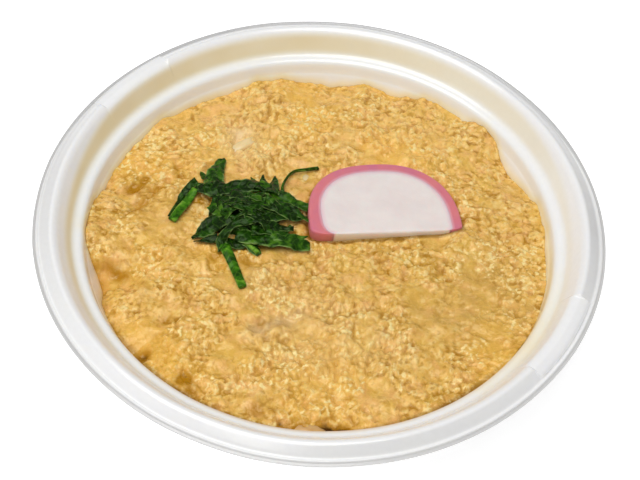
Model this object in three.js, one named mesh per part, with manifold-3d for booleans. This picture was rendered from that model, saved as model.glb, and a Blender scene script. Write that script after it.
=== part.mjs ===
// Bowl of egg ankake udon: a round white foam bowl filled with udon noodles under a thick egg
// sauce, with one slice of fish cake and a heap of chopped leafy greens lying on the sauce.
// Millimetres, +Z up. The origin is the centre of the bowl's base, +Y points to the far side.
import * as THREE from 'three';
import Module from 'manifold-3d';

const wasm = await Module();
wasm.setup();

// The bowl. Radii are measured from its axis, heights from the table.
const rimRadius = 95;
const rimHeight = 60;
const wallThickness = 2;
const floorRadius = 40;
const floorHeight = 3.2;
const floorReach = 22;
const creaseRadius = 77.8;
const creaseHeight = 48.5;
const creaseRun = [4, 10.9];
const footOuterRadius = 49;
const footInnerRadius = 42;
const footRound = [2, 1.5];
const recessHeight = 1;
const recessSlope = 1.2;
const bowlSteps = 52;
const wallSteps = 7;

// The rim's section as [radius, height]: the ledge under it, its raised crest, the same stretch
// where a flat pad takes the crest's place, its outer edge, and its underside.
const ledgeLine = [[79.7, 53.6], [81.5, 54.05], [82.7, 56]];
const crestLine = [[87.35, 61.4], [88.9, 62.3], [90, 62.6], [92.6, 61.2]];
const padLine = [[86.3, 61.7], [87.2, 62.1], [92.2, 62.1], [92.9, 61.3]];
const edgeLine = [[93.9, 60.9], [rimRadius, rimHeight], [94.7, 58.6]];
const undersideLine = [[92.3, 59], [90, 60.2], [88.4, 59.3], [84.9, 54.5], [81.8, 51.7]];

// Azimuth of both ends of each pad, in degrees, and how wide the step at an end is.
const pads = [[320.5, 342.1], [131.4, 152.9]];
const padEndWidth = 1;

// Height of the egg sauce's edge on the wall, every 15 degrees from +X towards +Y, and narrow
// notches in that edge as [azimuth, half width in degrees, depth].
const edgeHeights = [46, 48.5, 45.5, 50, 47.5, 45, 44.6, 46.8, 45.6, 45.8, 47.2, 47.2,
  50.6, 46, 45, 46.5, 48, 48.5, 47, 48, 48.5, 49, 49.5, 47.5];
const edgeNotches = [[196, 6, 5], [30, 7, 2], [222, 4, 3], [279, 4, 4.5], [72, 4, 1.5]];

// The sauce's surface: a low mound that rolls down at its edge, with lumps of these lengths.
const moundHeight = 49.2;
const moundDrop = 1.4;
const edgeRoll = 7;
const wallGap = 0.5;
const sauceRings = 24;
const sauceWallTop = 38;
const lumpHeight = 0.42;
const lumpLengths = [27, 19, 14.5, 12.5, 10.5, 9, 8, 7.2];

// The fish cake slice, a D with a pink layer round its arch. Squareness 2 is a plain ellipse.
const cakeHalfWidth = 26.2;
const cakeArch = 26.8;
const cakeFoot = 4.5;
const cakeThickness = 5;
const cakeLayer = 3.8;
const cakeLayerExtra = 1.4;
const archSquareness = { right: 2.25, left: 2.7 };
const footSquareness = { right: 8, left: 5 };
const coreSquareness = 14;
const bandEnd = 55;
const bandSteps = 36;
const cakePlace = { x: 23.2, y: 6, z: 49.2, turn: 10.8, tilt: 2 };

// Udon noodles that just break the surface: centre, heading, length and bend in degrees.
const noodleWidth = 4.2;
const noodleSides = 8;
const noodleSteps = 8;
const noodleDive = 2.6; // how far its ends lie below its middle
const noodles = {
  udon_noodle_front: { x: 4.5, y: -73.1, z: 46.4, heading: 4, length: 26, bend: 19 },
  udon_noodle_near: { x: -13.6, y: -39.8, z: 46.9, heading: 26, length: 24, bend: -25 },
  udon_noodle_far: { x: -28.8, y: 39.9, z: 46.9, heading: 40, length: 17, bend: 20 },
  udon_noodle_middle: { x: -6.6, y: 25.2, z: 47, heading: 60, length: 14, bend: 12 },
};

// The gap kept between pieces that touch.
const gap = 0.3;

// The heap of greens: a core, and leaves and stems whose points are [x, y, height over sauce].
const heap = { x: -26, y: 5.5, halfLength: 13, halfWidth: 9.5, height: 5.2, depth: 3, sides: 20 };
const leafLook = { thickness: 1.1, crown: 0.5, wave: 0.45 };
const stemLook = { thickness: 1.9, crown: 0.4, wave: 0 };
const shredStep = 3.2;
const waveTurn = 2.1;
const leaves = [
  { path: [[-36.2, 30.8, 1], [-38.6, 25.6, 2], [-40, 20.2, 3.2], [-38, 14, 3.4]],
    width: [4, 5.6, 5, 4.6] },
  { path: [[-44, 16.5, 2.6], [-34, 16.6, 4.6], [-25, 18, 4.8], [-15.5, 15.6, 3.2]],
    width: [5, 7.4, 7, 4] },
  { path: [[-21.4, 23.6, 1.6], [-22, 19, 3], [-23, 13, 5]], width: [0.8, 4, 5] },
  { path: [[-16.2, 22.6, 1.4], [-17.4, 18.6, 2.6], [-19, 12, 5]], width: [1.4, 4.4, 5] },
  { path: [[-31, 11.6, 5.4], [-17, 11.6, 4.6], [-5, 10, 3]], width: [5, 5.4, 4.4] },
  { path: [[-19, 9, 5], [-9, 6.4, 3.2], [-3.4, 3.4, 3.2]], width: [5, 4.2, 0.7] },
  { path: [[-23, -1.6, 4], [-12, -4.2, 3], [-4.6, -4.6, 2]], width: [6, 6.8, 6] },
  { path: [[-43, -5.6, 0.9], [-38.3, -3.6, 2.2], [-30, 1, 4.2]], width: [0.8, 6, 7] },
  { path: [[-33.2, -5.6, 2.6], [-30.6, -2.4, 4.4], [-27, 0.6, 5.6], [-22, 2, 5.4], [-17, 0.4, 4]],
    width: [3.6, 5, 5, 5, 4] },
  { path: [[-29, -1.8, 3], [-23.4, -3.6, 2.4], [-18.6, -5.4, 1.4]], width: [4, 5.4, 3] },
  { path: [[-38, 12.4, 2.8], [-37, 6, 2.4], [-32, 1, 3.2]], width: [4, 5.4, 5] },
  { path: [[-37, 9, 3.6], [-29, 6.4, 6.6], [-20, 8, 6.4]], width: [4, 6, 5] },
  { path: [[-31.4, 14.4, 4.8], [-24.6, 9, 7.4], [-16, 3.4, 4.6]], width: [4.4, 5.6, 4.4] },
  { path: [[-28, 14, 5.8], [-21, 13, 6.4], [-12.6, 10.6, 4]], width: [3.6, 5, 3.4] },
  { path: [[-34.6, 3.4, 4], [-26, 3.2, 7], [-16.4, 5, 5]], width: [3.4, 5.4, 3.6] },
  { path: [[-14.6, 7.6, 2.6], [-9.4, 2.6, 1.6]], width: [3, 2.2] },
];
const stems = [
  { path: [[-49.6, 1.8, 0.5], [-46.8, 10, 0.9], [-43.4, 16.6, 1.8], [-39, 18.4, 3]],
    width: [3.4, 3.4, 3.6, 3.2] },
  { path: [[-33.4, -4.4, 3], [-30.2, -11, 1.2], [-27.4, -17, 0.7], [-24.4, -23.4, 0.6]],
    width: [4.2, 3.8, 3.5, 3.5] },
  { path: [[-15.6, 9, 4.2], [-13.2, 15, 1.9], [-14.3, 20.2, 1.4], [-12.3, 26, 1.2], [-8.6, 29.4, 1.3],
    [-2.2, 30, 1.5]], width: [2, 1.3, 1.1, 1.1, 1, 1.1] },
  { path: [[-28, -4.6, 2], [-23.6, -7.4, 0.7], [-19.6, -9, 0.6]], width: [2.6, 2.4, 1.8] },
  { path: [[-16.6, 3.4, 3.4], [-12.4, 1, 1.8], [-8.8, -0.4, 1.6]], width: [3, 2.4, 2.4] },
];

const radians = (degrees) => THREE.MathUtils.degToRad(degrees);

// Turns a list of points and triangles into a closed body with its faces pointing out.
function body(points, triangles) {
  let volume = 0;
  const cross = new THREE.Vector3();
  for (const [a, b, c] of triangles) {
    volume += cross.crossVectors(points[a], points[b]).dot(points[c]);
  }
  const turned = volume < 0 ? triangles.map(([a, b, c]) => [a, c, b]) : triangles;
  const geometry = new THREE.BufferGeometry();
  const numbers = points.flatMap((p) => [p.x, p.y, p.z]);
  geometry.setAttribute('position', new THREE.Float32BufferAttribute(numbers, 3));
  geometry.setIndex(turned.flat());
  return geometry;
}

// Closed skin over a row of rings. A ring of one point is a pole, and counts may differ.
function ringSkin(rings) {
  const triangles = [];
  let start = 0;
  for (let i = 0; i + 1 < rings.length; i++) {
    const n = rings[i].length;
    const m = rings[i + 1].length;
    const next = start + n;
    const endA = n > 1 ? n : 0;
    const endB = m > 1 ? m : 0;
    let a = 0;
    let b = 0;
    while (a < endA || b < endB) {
      const here = start + (a % n);
      const there = next + (b % m);
      if (a < endA && (b >= endB || (a + 1) * m <= (b + 1) * n)) {
        a++;
        triangles.push([here, start + (a % n), there]);
      } else {
        b++;
        triangles.push([here, next + (b % m), there]);
      }
    }
    start = next;
  }
  return body(rings.flat(), triangles);
}

// Thin solid between an upper and a lower grid of points, both split into triangles alike.
function sheetSolid(upper, lower) {
  const rows = upper.length;
  const columns = upper[0].length;
  const low = rows * columns;
  const at = (i, j) => i * columns + j;
  const triangles = [];
  for (let i = 0; i + 1 < rows; i++) {
    for (let j = 0; j + 1 < columns; j++) {
      const [p, q, r, s] = [at(i, j), at(i + 1, j), at(i + 1, j + 1), at(i, j + 1)];
      triangles.push([p, q, r], [p, r, s]);
      triangles.push([p + low, r + low, q + low], [p + low, s + low, r + low]);
    }
  }
  const border = [];
  for (let i = 0; i + 1 < rows; i++) border.push(at(i, 0));
  for (let j = 0; j + 1 < columns; j++) border.push(at(rows - 1, j));
  for (let i = rows - 1; i > 0; i--) border.push(at(i, columns - 1));
  for (let j = columns - 1; j > 0; j--) border.push(at(0, j));
  border.forEach((p, k) => {
    const q = border[(k + 1) % border.length];
    triangles.push([p, p + low, q], [q, p + low, q + low]);
  });
  return body([...upper.flat(), ...lower.flat()], triangles);
}

function toSolid(geometry, matrix = new THREE.Matrix4()) {
  const placed = geometry.clone().applyMatrix4(matrix);
  return new wasm.Manifold(new wasm.Mesh({
    numProp: 3,
    vertProperties: new Float32Array(placed.attributes.position.array),
    triVerts: new Uint32Array(placed.index.array),
  }));
}

// Back from a solid to a geometry. Loose scraps that a cut leaves are dropped.
function fromSolid(solid) {
  const largest = solid.decompose().reduce((a, b) => (b.volume() > a.volume() ? b : a));
  const mesh = largest.getMesh();
  const geometry = new THREE.BufferGeometry();
  geometry.setAttribute('position', new THREE.BufferAttribute(mesh.vertProperties, 3));
  geometry.setIndex(new THREE.BufferAttribute(mesh.triVerts, 1));
  return geometry;
}

function piece(name, geometry, look) {
  const mesh = new THREE.Mesh(geometry, new THREE.MeshStandardMaterial(look));
  mesh.name = name;
  return mesh;
}

// The bowl's inner wall from its floor up to the crease below the ledge, as [radius, height].
function wallLine() {
  const curve = new THREE.CubicBezierCurve(
    new THREE.Vector2(floorRadius, floorHeight),
    new THREE.Vector2(floorRadius + floorReach, floorHeight),
    new THREE.Vector2(creaseRadius - creaseRun[0], creaseHeight - creaseRun[1]),
    new THREE.Vector2(creaseRadius, creaseHeight),
  );
  return curve.getPoints(wallSteps).map((p) => [p.x, p.y]);
}

function wallRadius(z) {
  const line = [...wallLine(), ledgeLine[0]];
  const k = Math.max(1, line.findIndex(([, height]) => height >= z));
  const [r0, z0] = line[k - 1];
  const [r1, z1] = line[k];
  return r0 + ((r1 - r0) * (z - z0)) / (z1 - z0);
}

// Section of the bowl from its floor over the rim to its base. On a pad the crest is flat.
function bowlSection(onPad) {
  const inner = wallLine();
  const outer = inner.map(([r, z], k) => {
    const [ra, za] = inner[Math.max(k - 1, 0)];
    const [rb, zb] = inner[Math.min(k + 1, inner.length - 1)];
    const length = Math.hypot(rb - ra, zb - za);
    return [r + (wallThickness * (zb - za)) / length, z - (wallThickness * (rb - ra)) / length];
  });
  const foot = [
    [footOuterRadius + footRound[0], footRound[1]],
    [footOuterRadius, 0],
    [footInnerRadius, 0],
    [footInnerRadius - recessSlope, recessHeight],
  ];
  const rim = [...ledgeLine, ...(onPad ? padLine : crestLine), ...edgeLine, ...undersideLine];
  return [...inner, ...rim, ...outer.slice(2).reverse(), ...foot];
}

// Azimuths of the bowl's facets: even steps, with a close pair at each end of a pad.
function bowlAzimuths() {
  const step = 360 / bowlSteps;
  const even = Array.from({ length: bowlSteps }, (_, k) => k * step);
  const ends = pads.flat().flatMap((end) => [end - padEndWidth / 2, end + padEndWidth / 2]);
  const kept = even.filter((a) => ends.every((end) => Math.abs(a - end) > step / 4));
  return [...kept, ...ends].sort((a, b) => a - b);
}

function makeBowl() {
  const plain = bowlSection(false);
  const padded = bowlSection(true);
  const azimuths = bowlAzimuths();
  const isPad = (a) => pads.some(([from, to]) => a > from && a < to);
  const rings = plain.map((_, k) => azimuths.map((a) => {
    const [r, z] = (isPad(a) ? padded : plain)[k];
    return new THREE.Vector3(r * Math.cos(radians(a)), r * Math.sin(radians(a)), z);
  }));
  const floorPole = new THREE.Vector3(0, 0, floorHeight);
  const basePole = new THREE.Vector3(0, 0, recessHeight);
  return ringSkin([[floorPole], ...rings, [basePole]]);
}

// Height of the sauce's edge at an azimuth in degrees: eased between the listed heights, less
// a bell-shaped notch at each listed place.
function edgeHeight(azimuth) {
  const step = 360 / edgeHeights.length;
  const turn = THREE.MathUtils.euclideanModulo(azimuth, 360) / step;
  const k = Math.floor(turn) % edgeHeights.length;
  const t = turn - Math.floor(turn);
  const ease = t * t * (3 - 2 * t);
  const next = edgeHeights[(k + 1) % edgeHeights.length];
  const even = edgeHeights[k] + (next - edgeHeights[k]) * ease;
  return edgeNotches.reduce((z, [centre, halfWidth, depth]) => {
    const away = THREE.MathUtils.euclideanModulo(azimuth - centre + 180, 360) - 180;
    return z - depth * Math.exp(-((away / halfWidth) ** 2));
  }, even);
}

// Sum of sine waves, each turned by the golden angle from the last, at the same height.
function lumps(x, y) {
  const goldenAngle = Math.PI * (3 - Math.sqrt(5));
  return lumpLengths.reduce((sum, length, k) => {
    const along = x * Math.cos(k * goldenAngle) + y * Math.sin(k * goldenAngle);
    return sum + lumpHeight * Math.sin((2 * Math.PI * along) / length + k * k);
  }, 0);
}

// Sauce surface: the mound and its lumps, which give way to the edge's height near the wall.
function sauceTop(x, y) {
  const edge = edgeHeight(THREE.MathUtils.radToDeg(Math.atan2(y, x)));
  const part = Math.min(Math.hypot(x, y) / (wallRadius(edge) - wallGap), 1);
  const roll = part ** edgeRoll;
  return edge * roll + (moundHeight - moundDrop * part * part + lumps(x, y)) * (1 - roll);
}

// The sauce from its surface down to the bowl's floor, a little clear of the wall.
function makeSauce(lift) {
  const ring = (count, point) => (
    Array.from({ length: count }, (_, k) => point((2 * Math.PI * k) / count)));
  const rings = [[new THREE.Vector3(0, 0, sauceTop(0, 0) + lift)]];
  for (let i = 1; i <= sauceRings; i++) {
    rings.push(ring(6 * i, (turn) => {
      const edge = edgeHeight(THREE.MathUtils.radToDeg(turn));
      const r = ((wallRadius(edge) - wallGap) * i) / sauceRings;
      const [x, y] = [r * Math.cos(turn), r * Math.sin(turn)];
      return new THREE.Vector3(x, y, sauceTop(x, y) + lift);
    }));
  }
  for (const [r, z] of wallLine().filter((p) => p[1] < sauceWallTop).reverse()) {
    const count = r > (floorRadius + creaseRadius) / 2 ? bowlSteps : bowlSteps / 2;
    const reach = r - wallGap;
    rings.push(ring(count, (turn) => (
      new THREE.Vector3(reach * Math.cos(turn), reach * Math.sin(turn), z + wallGap))));
  }
  rings.push([new THREE.Vector3(0, 0, floorHeight + wallGap)]);
  return ringSkin(rings);
}

// Depth of the pink layer at a height on the slice: deeper low down on the left.
function layerDepth(y, isLeft) {
  const low = Math.max(0, 1 - y / (cakeArch / 2));
  return isLeft ? cakeLayer + cakeLayerExtra * low : cakeLayer;
}

// Point of the slice's outline at a turn from its right side over the arch: a superellipse,
// tall above the feet and low below them. The inner line is set in by the layer's depth.
function cakeOutline(turn, isInner, extra) {
  const [c, s] = [Math.cos(turn), Math.sin(turn)];
  const hand = c >= 0 ? 'right' : 'left';
  const foot = isInner ? coreSquareness : footSquareness[hand];
  const power = 2 / (s >= 0 ? archSquareness[hand] : foot);
  const side = Math.sign(c) * Math.abs(c) ** power;
  const rise = Math.sign(s) * Math.abs(s) ** power;
  const inset = extra + (isInner ? layerDepth(cakeArch * rise, c < 0) : 0);
  const y = s >= 0 ? (cakeArch - inset) * rise : cakeFoot * rise;
  return [(cakeHalfWidth - inset) * side, y];
}

// Turns of the slice's outline from foot to foot, which the band and the core share.
function cakeTurns() {
  const sweep = 180 + 2 * bandEnd;
  return Array.from({ length: bandSteps + 1 }, (_, k) => radians((sweep * k) / bandSteps - bandEnd));
}

// A convex plate on an outline, closed along its foot.
function cakePlate(isInner, extra, half, drop) {
  const ring = (z) => cakeTurns().map((turn) => {
    const [x, y] = cakeOutline(turn, isInner, extra);
    return new THREE.Vector3(x, y < 0 ? y - drop : y, z);
  });
  const pole = (z) => [new THREE.Vector3(0, cakeArch / 2, z)];
  return ringSkin([pole(-half), ring(-half), ring(half), pole(half)]);
}

// The white core of the slice.
function makeCakeCore() {
  return cakePlate(true, gap, cakeThickness / 2, 0);
}

// What the slice takes out of the sauce and the greens: its whole outline, a gap larger.
function makeCakePocket() {
  return cakePlate(false, -gap, cakeThickness / 2 + gap, gap);
}

// The pink layer: a band along the arch from foot to foot.
function makeCakeBand() {
  const face = (z) => cakeTurns().map((turn) => {
    const lines = [cakeOutline(turn, false, 0), cakeOutline(turn, true, 0)];
    return lines.map(([x, y]) => new THREE.Vector3(x, y, z));
  });
  return sheetSolid(face(cakeThickness / 2), face(-cakeThickness / 2));
}

// A noodle: a rounded square section carried along an arc whose ends dive into the sauce.
function makeNoodle({ x, y, z, heading, length, bend }, grow) {
  const half = noodleWidth / 2 + grow;
  const radius = length / radians(bend);
  const mid = radians(heading);
  const ring = (share, size) => {
    const turn = mid + ((length + 2 * grow) / radius) * share;
    const centreX = x + radius * (Math.sin(turn) - Math.sin(mid));
    const centreY = y - radius * (Math.cos(turn) - Math.cos(mid));
    const centreZ = z - noodleDive * (2 * share) ** 2;
    return Array.from({ length: noodleSides }, (_, k) => {
      const round = (2 * Math.PI * (k + 0.5)) / noodleSides;
      const out = size * Math.cos(round);
      return new THREE.Vector3(
        centreX - out * Math.sin(turn),
        centreY + out * Math.cos(turn),
        centreZ + size * Math.sin(round),
      );
    });
  };
  const rings = Array.from({ length: noodleSteps + 1 }, (_, k) => ring(k / noodleSteps - 0.5, half));
  const pole = (share) => ring(share, 0).slice(0, 1);
  return ringSkin([pole(-0.5), ...rings, pole(0.5)]);
}

// A leaf or stem: a curve over the sauce, a few points across, with both faces alike. The
// middle line stands up by the crown, and a wave runs along the edges.
function makeShred({ path, width }, { thickness, crown, wave }, seed) {
  const points = path.map(([x, y, h]) => new THREE.Vector3(x, y, sauceTop(x, y) + h));
  const curve = new THREE.CatmullRomCurve3(points);
  const steps = Math.max(2, Math.round(curve.getLength() / shredStep));
  const lower = [];
  const upper = [];
  for (let k = 0; k <= steps; k++) {
    const t = k / steps;
    const centre = curve.getPoint(t);
    const along = curve.getTangent(t);
    const across = new THREE.Vector3(-along.y, along.x, 0).normalize();
    const normal = new THREE.Vector3().crossVectors(along, across).normalize();
    const spot = t * (width.length - 1);
    const first = Math.min(Math.floor(spot), width.length - 2);
    const half = THREE.MathUtils.lerp(width[first], width[first + 1], spot - first) / 2;
    const row = [-1, 0, 1].map((side) => {
      const rise = crown * (1 - Math.abs(side)) + wave * side * Math.sin(waveTurn * k + seed);
      return centre.clone().addScaledVector(across, side * half).addScaledVector(normal, rise);
    });
    lower.push(row);
    upper.push(row.map((p) => p.clone().addScaledVector(normal, thickness)));
  }
  return toSolid(sheetSolid(upper, lower));
}

// The core under the leaves: a low dome on an oval.
function makeHeapCore() {
  const ring = (scale, height) => Array.from({ length: heap.sides }, (_, k) => {
    const turn = (2 * Math.PI * k) / heap.sides;
    const x = heap.x + heap.halfLength * scale * Math.cos(turn);
    const y = heap.y + heap.halfWidth * scale * Math.sin(turn);
    return new THREE.Vector3(x, y, moundHeight + height);
  });
  const pole = (height) => [new THREE.Vector3(heap.x, heap.y, moundHeight + height)];
  return toSolid(ringSkin([
    pole(-heap.depth),
    ring(0.9, -heap.depth),
    ring(1, heap.height * 0.35),
    ring(0.75, heap.height * 0.8),
    pole(heap.height),
  ]));
}

// Everything in its place. The slice is turned and tilted as a whole.
const cake = new THREE.Group();
const white = { color: 0xe6dfda, roughness: 0.45, metalness: 0 };
const pink = { color: 0xd67a8c, roughness: 0.45, metalness: 0 };
cake.add(piece('kamaboko_white', makeCakeCore(), white));
cake.add(piece('kamaboko_pink', makeCakeBand(), pink));
cake.position.set(cakePlace.x, cakePlace.y, cakePlace.z);
cake.rotation.set(0, radians(cakePlace.tilt), radians(cakePlace.turn), 'ZYX');
cake.updateMatrixWorld();
const cakePocket = toSolid(makeCakePocket(), cake.matrixWorld);

const noodleEntries = Object.entries(noodles);
const noodlePockets = noodleEntries.map(([, noodle]) => toSolid(makeNoodle(noodle, gap)));
const pockets = [cakePocket, ...noodlePockets];

const sauceSolid = pockets.reduce((solid, pocket) => solid.subtract(pocket), toSolid(makeSauce(0)));

const leafSolids = leaves.map((leaf, k) => makeShred(leaf, leafLook, k));
const stemSolids = stems.map((stem, k) => makeShred(stem, stemLook, k));
const shreds = [...leafSolids, ...stemSolids];
const heapSolid = shreds.reduce((solid, shred) => solid.add(shred), makeHeapCore());
const underHeap = [toSolid(makeSauce(gap)), ...pockets];
const greensSolid = underHeap.reduce((solid, pocket) => solid.subtract(pocket), heapSolid);

const part = new THREE.Group();
part.add(piece('bowl', makeBowl(), { color: 0xf3f1ee, roughness: 0.5, metalness: 0 }));
part.add(piece('egg_ankake', fromSolid(sauceSolid), { color: 0xdcae5e, roughness: 0.4, metalness: 0 }));
part.add(cake);
part.add(piece('greens', fromSolid(greensSolid), { color: 0x2c4a1c, roughness: 0.4, metalness: 0 }));
for (const [name, noodle] of noodleEntries) {
  part.add(piece(name, makeNoodle(noodle, 0), { color: 0xe2c894, roughness: 0.4, metalness: 0 }));
}

export default part;
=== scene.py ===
# Bowl of egg ankake udon: fine shapes, materials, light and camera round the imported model.
# Lengths in the dictionaries are millimetres and turns are degrees, in the model's own frame.
import math
import bpy
import numpy as np
from mathutils import Matrix, Vector


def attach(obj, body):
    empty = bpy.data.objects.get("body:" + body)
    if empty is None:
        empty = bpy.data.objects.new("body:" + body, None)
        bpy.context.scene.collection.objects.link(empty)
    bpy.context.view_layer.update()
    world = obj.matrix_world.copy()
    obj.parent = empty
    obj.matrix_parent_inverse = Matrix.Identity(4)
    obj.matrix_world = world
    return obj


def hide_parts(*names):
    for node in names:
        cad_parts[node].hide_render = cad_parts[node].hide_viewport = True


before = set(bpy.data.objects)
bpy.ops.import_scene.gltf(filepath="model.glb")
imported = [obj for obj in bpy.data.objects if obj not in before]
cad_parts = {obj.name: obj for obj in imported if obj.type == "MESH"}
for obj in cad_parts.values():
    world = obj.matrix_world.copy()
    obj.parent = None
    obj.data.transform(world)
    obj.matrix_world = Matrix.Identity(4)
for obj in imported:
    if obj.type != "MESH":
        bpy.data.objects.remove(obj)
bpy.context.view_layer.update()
scene = bpy.context.scene
scene.view_settings.view_transform = "Standard"
mm = 0.001
goldenAngle = math.pi * (3 - math.sqrt(5))
print("frame loaded, solids:", len(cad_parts))

cameraView = {"target": (0.28, -10.62, 60), "distance": 473, "elevation": 51.17, "roll": 4.33,
              "lens": 81.08, "sensor": 36}


# The camera looks at its target from a distance, raised by the elevation and rolled.
def makeCamera(view):
    rise = math.radians(view["elevation"])
    back = Vector((0, -math.cos(rise), math.sin(rise)))
    right = Vector((1, 0, 0))
    axes = Matrix((right, back.cross(right), back)).transposed().to_4x4()
    data = bpy.data.cameras.new("camera")
    data.lens = view["lens"]
    data.sensor_width = view["sensor"]
    camera = bpy.data.objects.new("camera", data)
    place = (Vector(view["target"]) + back * view["distance"]) * mm
    roll = Matrix.Rotation(math.radians(view["roll"]), 4, "Z")
    camera.matrix_world = Matrix.Translation(place) @ axes @ roll
    scene.collection.objects.link(camera)
    scene.camera = camera


makeCamera(cameraView)
print("camera placed")


# A colour given as screen values from 0 to 255, made linear.
def colour(red, green, blue):
    part = [value / 255 for value in (red, green, blue)]
    return (*[c / 12.92 if c <= 0.04045 else ((c + 0.055) / 1.055) ** 2.4 for c in part], 1)


# A shader node. Its inputs are given by name or number, as a value or as a socket to link.
def addNode(tree, kind, inputs=None, **settings):
    made = tree.nodes.new("ShaderNode" + kind)
    for name, value in settings.items():
        setattr(made, name, value)
    for name, value in (inputs or {}).items():
        if isinstance(value, bpy.types.NodeSocket):
            tree.links.new(value, made.inputs[name])
        else:
            made.inputs[name].default_value = value
    return made


# Two colours mixed by a share, or the second times the share added to the first.
def mixColours(tree, share, first, second, blend="MIX"):
    mixed = addNode(tree, "Mix", data_type="RGBA", blend_type=blend)
    for number, value in ((0, share), (6, first), (7, second)):
        if isinstance(value, bpy.types.NodeSocket):
            tree.links.new(value, mixed.inputs[number])
        else:
            mixed.inputs[number].default_value = value
    return mixed.outputs[2]


# Noise with patches of about the given size in millimetres. Its values run from 0 to 1.
def noiseValue(tree, coords, size, detail=2, distortion=0):
    inputs = {"Vector": coords, "Scale": 1000 / size, "Detail": detail, "Distortion": distortion}
    return addNode(tree, "TexNoise", inputs).outputs[0]


# A value's range from low to high drawn out to a new range, and held at its ends.
def spread(tree, value, low, high, newLow=0, newHigh=1):
    inputs = {"Value": value, "From Min": low, "From Max": high, "To Min": newLow,
              "To Max": newHigh}
    return addNode(tree, "MapRange", inputs).outputs[0]


# Sum, difference or product of two values.
def combine(tree, operation, first, second):
    return addNode(tree, "Math", {0: first, 1: second}, operation=operation).outputs[0]


def multiply(tree, first, second):
    return combine(tree, "MULTIPLY", first, second)


# A value that the mesh holds for each point.
def meshValue(tree, name):
    return addNode(tree, "Attribute", attribute_name=name).outputs["Fac"]


# Starts a material: its tree, its object coordinates and its shader with plain settings.
def startMaterial(name, settings):
    material = bpy.data.materials.new(name)
    material.use_nodes = True
    tree = material.node_tree
    tree.nodes.clear()
    shader = addNode(tree, "BsdfPrincipled", settings)
    addNode(tree, "OutputMaterial", {"Surface": shader.outputs[0]})
    return material, tree, addNode(tree, "TexCoord").outputs["Object"], shader


# Ends a material: its colour, its roughness and its bumps, each a value and a height in
# millimetres where the value is one.
def finishMaterial(tree, shader, shade, roughness, bumps):
    tree.links.new(shade, shader.inputs["Base Color"])
    tree.links.new(roughness, shader.inputs["Roughness"])
    normal = None
    for value, height in bumps:
        inputs = {"Height": value, "Distance": height * mm, "Strength": 1}
        if normal:
            inputs["Normal"] = normal
        normal = addNode(tree, "Bump", inputs).outputs[0]
    tree.links.new(normal, shader.inputs["Normal"])


# A piece from points in millimetres. The sum of a . (b x c) over its triangles is six times
# its volume, and where that is negative the faces are turned over, so that they point out.
def makePiece(name, skin, material, replaced=(), values=None):
    points, quads, triangles = skin
    quads = np.asarray(quads, int).reshape(-1, 4)
    triangles = np.asarray(triangles, int).reshape(-1, 3)
    split = np.concatenate([quads[:, :3], quads[:, [0, 2, 3]], triangles])
    a, b, c = (points[split[:, k]] for k in range(3))
    if np.einsum("ij,ij->", a, np.cross(b, c)) < 0:
        quads, triangles = quads[:, ::-1], triangles[:, ::-1]
    corners = np.concatenate([quads.ravel(), triangles.ravel()])
    sizes = np.concatenate([np.full(len(quads), 4), np.full(len(triangles), 3)])
    starts = np.concatenate([[0], np.cumsum(sizes)[:-1]])
    mesh = bpy.data.meshes.new(name)
    mesh.vertices.add(len(points))
    mesh.vertices.foreach_set("co", (points * mm).ravel())
    mesh.loops.add(len(corners))
    mesh.loops.foreach_set("vertex_index", corners)
    mesh.polygons.add(len(sizes))
    mesh.polygons.foreach_set("loop_start", starts)
    mesh.polygons.foreach_set("use_smooth", np.ones(len(sizes), bool))
    mesh.update(calc_edges=True)
    for key, value in (values or {}).items():
        mesh.attributes.new(key, "FLOAT", "POINT").data.foreach_set("value", np.ravel(value))
    mesh.materials.append(material)
    made = bpy.data.objects.new(name, mesh)
    scene.collection.objects.link(made)
    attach(made, "root")
    if replaced:
        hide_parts(*replaced)
    print(name, "made, triangles:", len(split))
    return made


# Closed skin over rows of points that close on themselves, with a pole at either end.
def ringSkin(rows, startPole, endPole):
    count, columns = rows.shape[:2]
    points = np.concatenate([rows.reshape(-1, 3), [startPole, endPole]])
    here = np.arange(columns)
    there = np.roll(here, -1)
    step = (np.arange(count - 1) * columns)[:, None]
    quads = np.stack([step + here, step + there, step + there + columns, step + here + columns], -1)
    last = (count - 1) * columns
    start = np.stack([np.full(columns, count * columns), there, here], -1)
    end = np.stack([np.full(columns, count * columns + 1), last + here, last + there], -1)
    return points, quads, np.concatenate([start, end])


# The faces of a grid of points, and the points round its border in order.
def gridFaces(rows, columns):
    number = np.arange(rows * columns).reshape(rows, columns)
    faces = np.stack([number[:-1, :-1], number[1:, :-1], number[1:, 1:], number[:-1, 1:]], -1)
    border = np.concatenate([number[:-1, 0], number[-1, :-1], number[:0:-1, -1], number[0, :0:-1]])
    return faces.reshape(-1, 4), border


# Closed skin of a thin body between an upper and a lower grid of points.
def sheetSkin(upper, lower):
    faces, border = gridFaces(*upper.shape[:2])
    low = upper.shape[0] * upper.shape[1]
    after = np.roll(border, -1)
    side = np.stack([border, border + low, after + low, after], -1)
    points = np.concatenate([upper.reshape(-1, 3), lower.reshape(-1, 3)])
    return points, np.concatenate([faces, faces[:, ::-1] + low, side]), np.zeros((0, 3), int)


# Many skins as one: the points follow one another and the faces' numbers are moved along.
def joinSkins(skins):
    counts = np.cumsum([0] + [len(points) for points, _, _ in skins])
    points = np.concatenate([skin[0] for skin in skins])
    quads = np.concatenate([skin[1].reshape(-1, 4) + n for skin, n in zip(skins, counts)])
    triangles = np.concatenate([skin[2].reshape(-1, 3) + n for skin, n in zip(skins, counts)])
    return points, quads, triangles


# An eased share: three times its square less twice its cube, kept from 0 to 1.
def ease(share):
    part = np.clip(share, 0, 1)
    return part * part * (3 - 2 * part)


# A bell: e to the minus square of the distance, counted in half widths.
def bell(away, halfWidth):
    return np.exp(-((away / halfWidth) ** 2))


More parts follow.
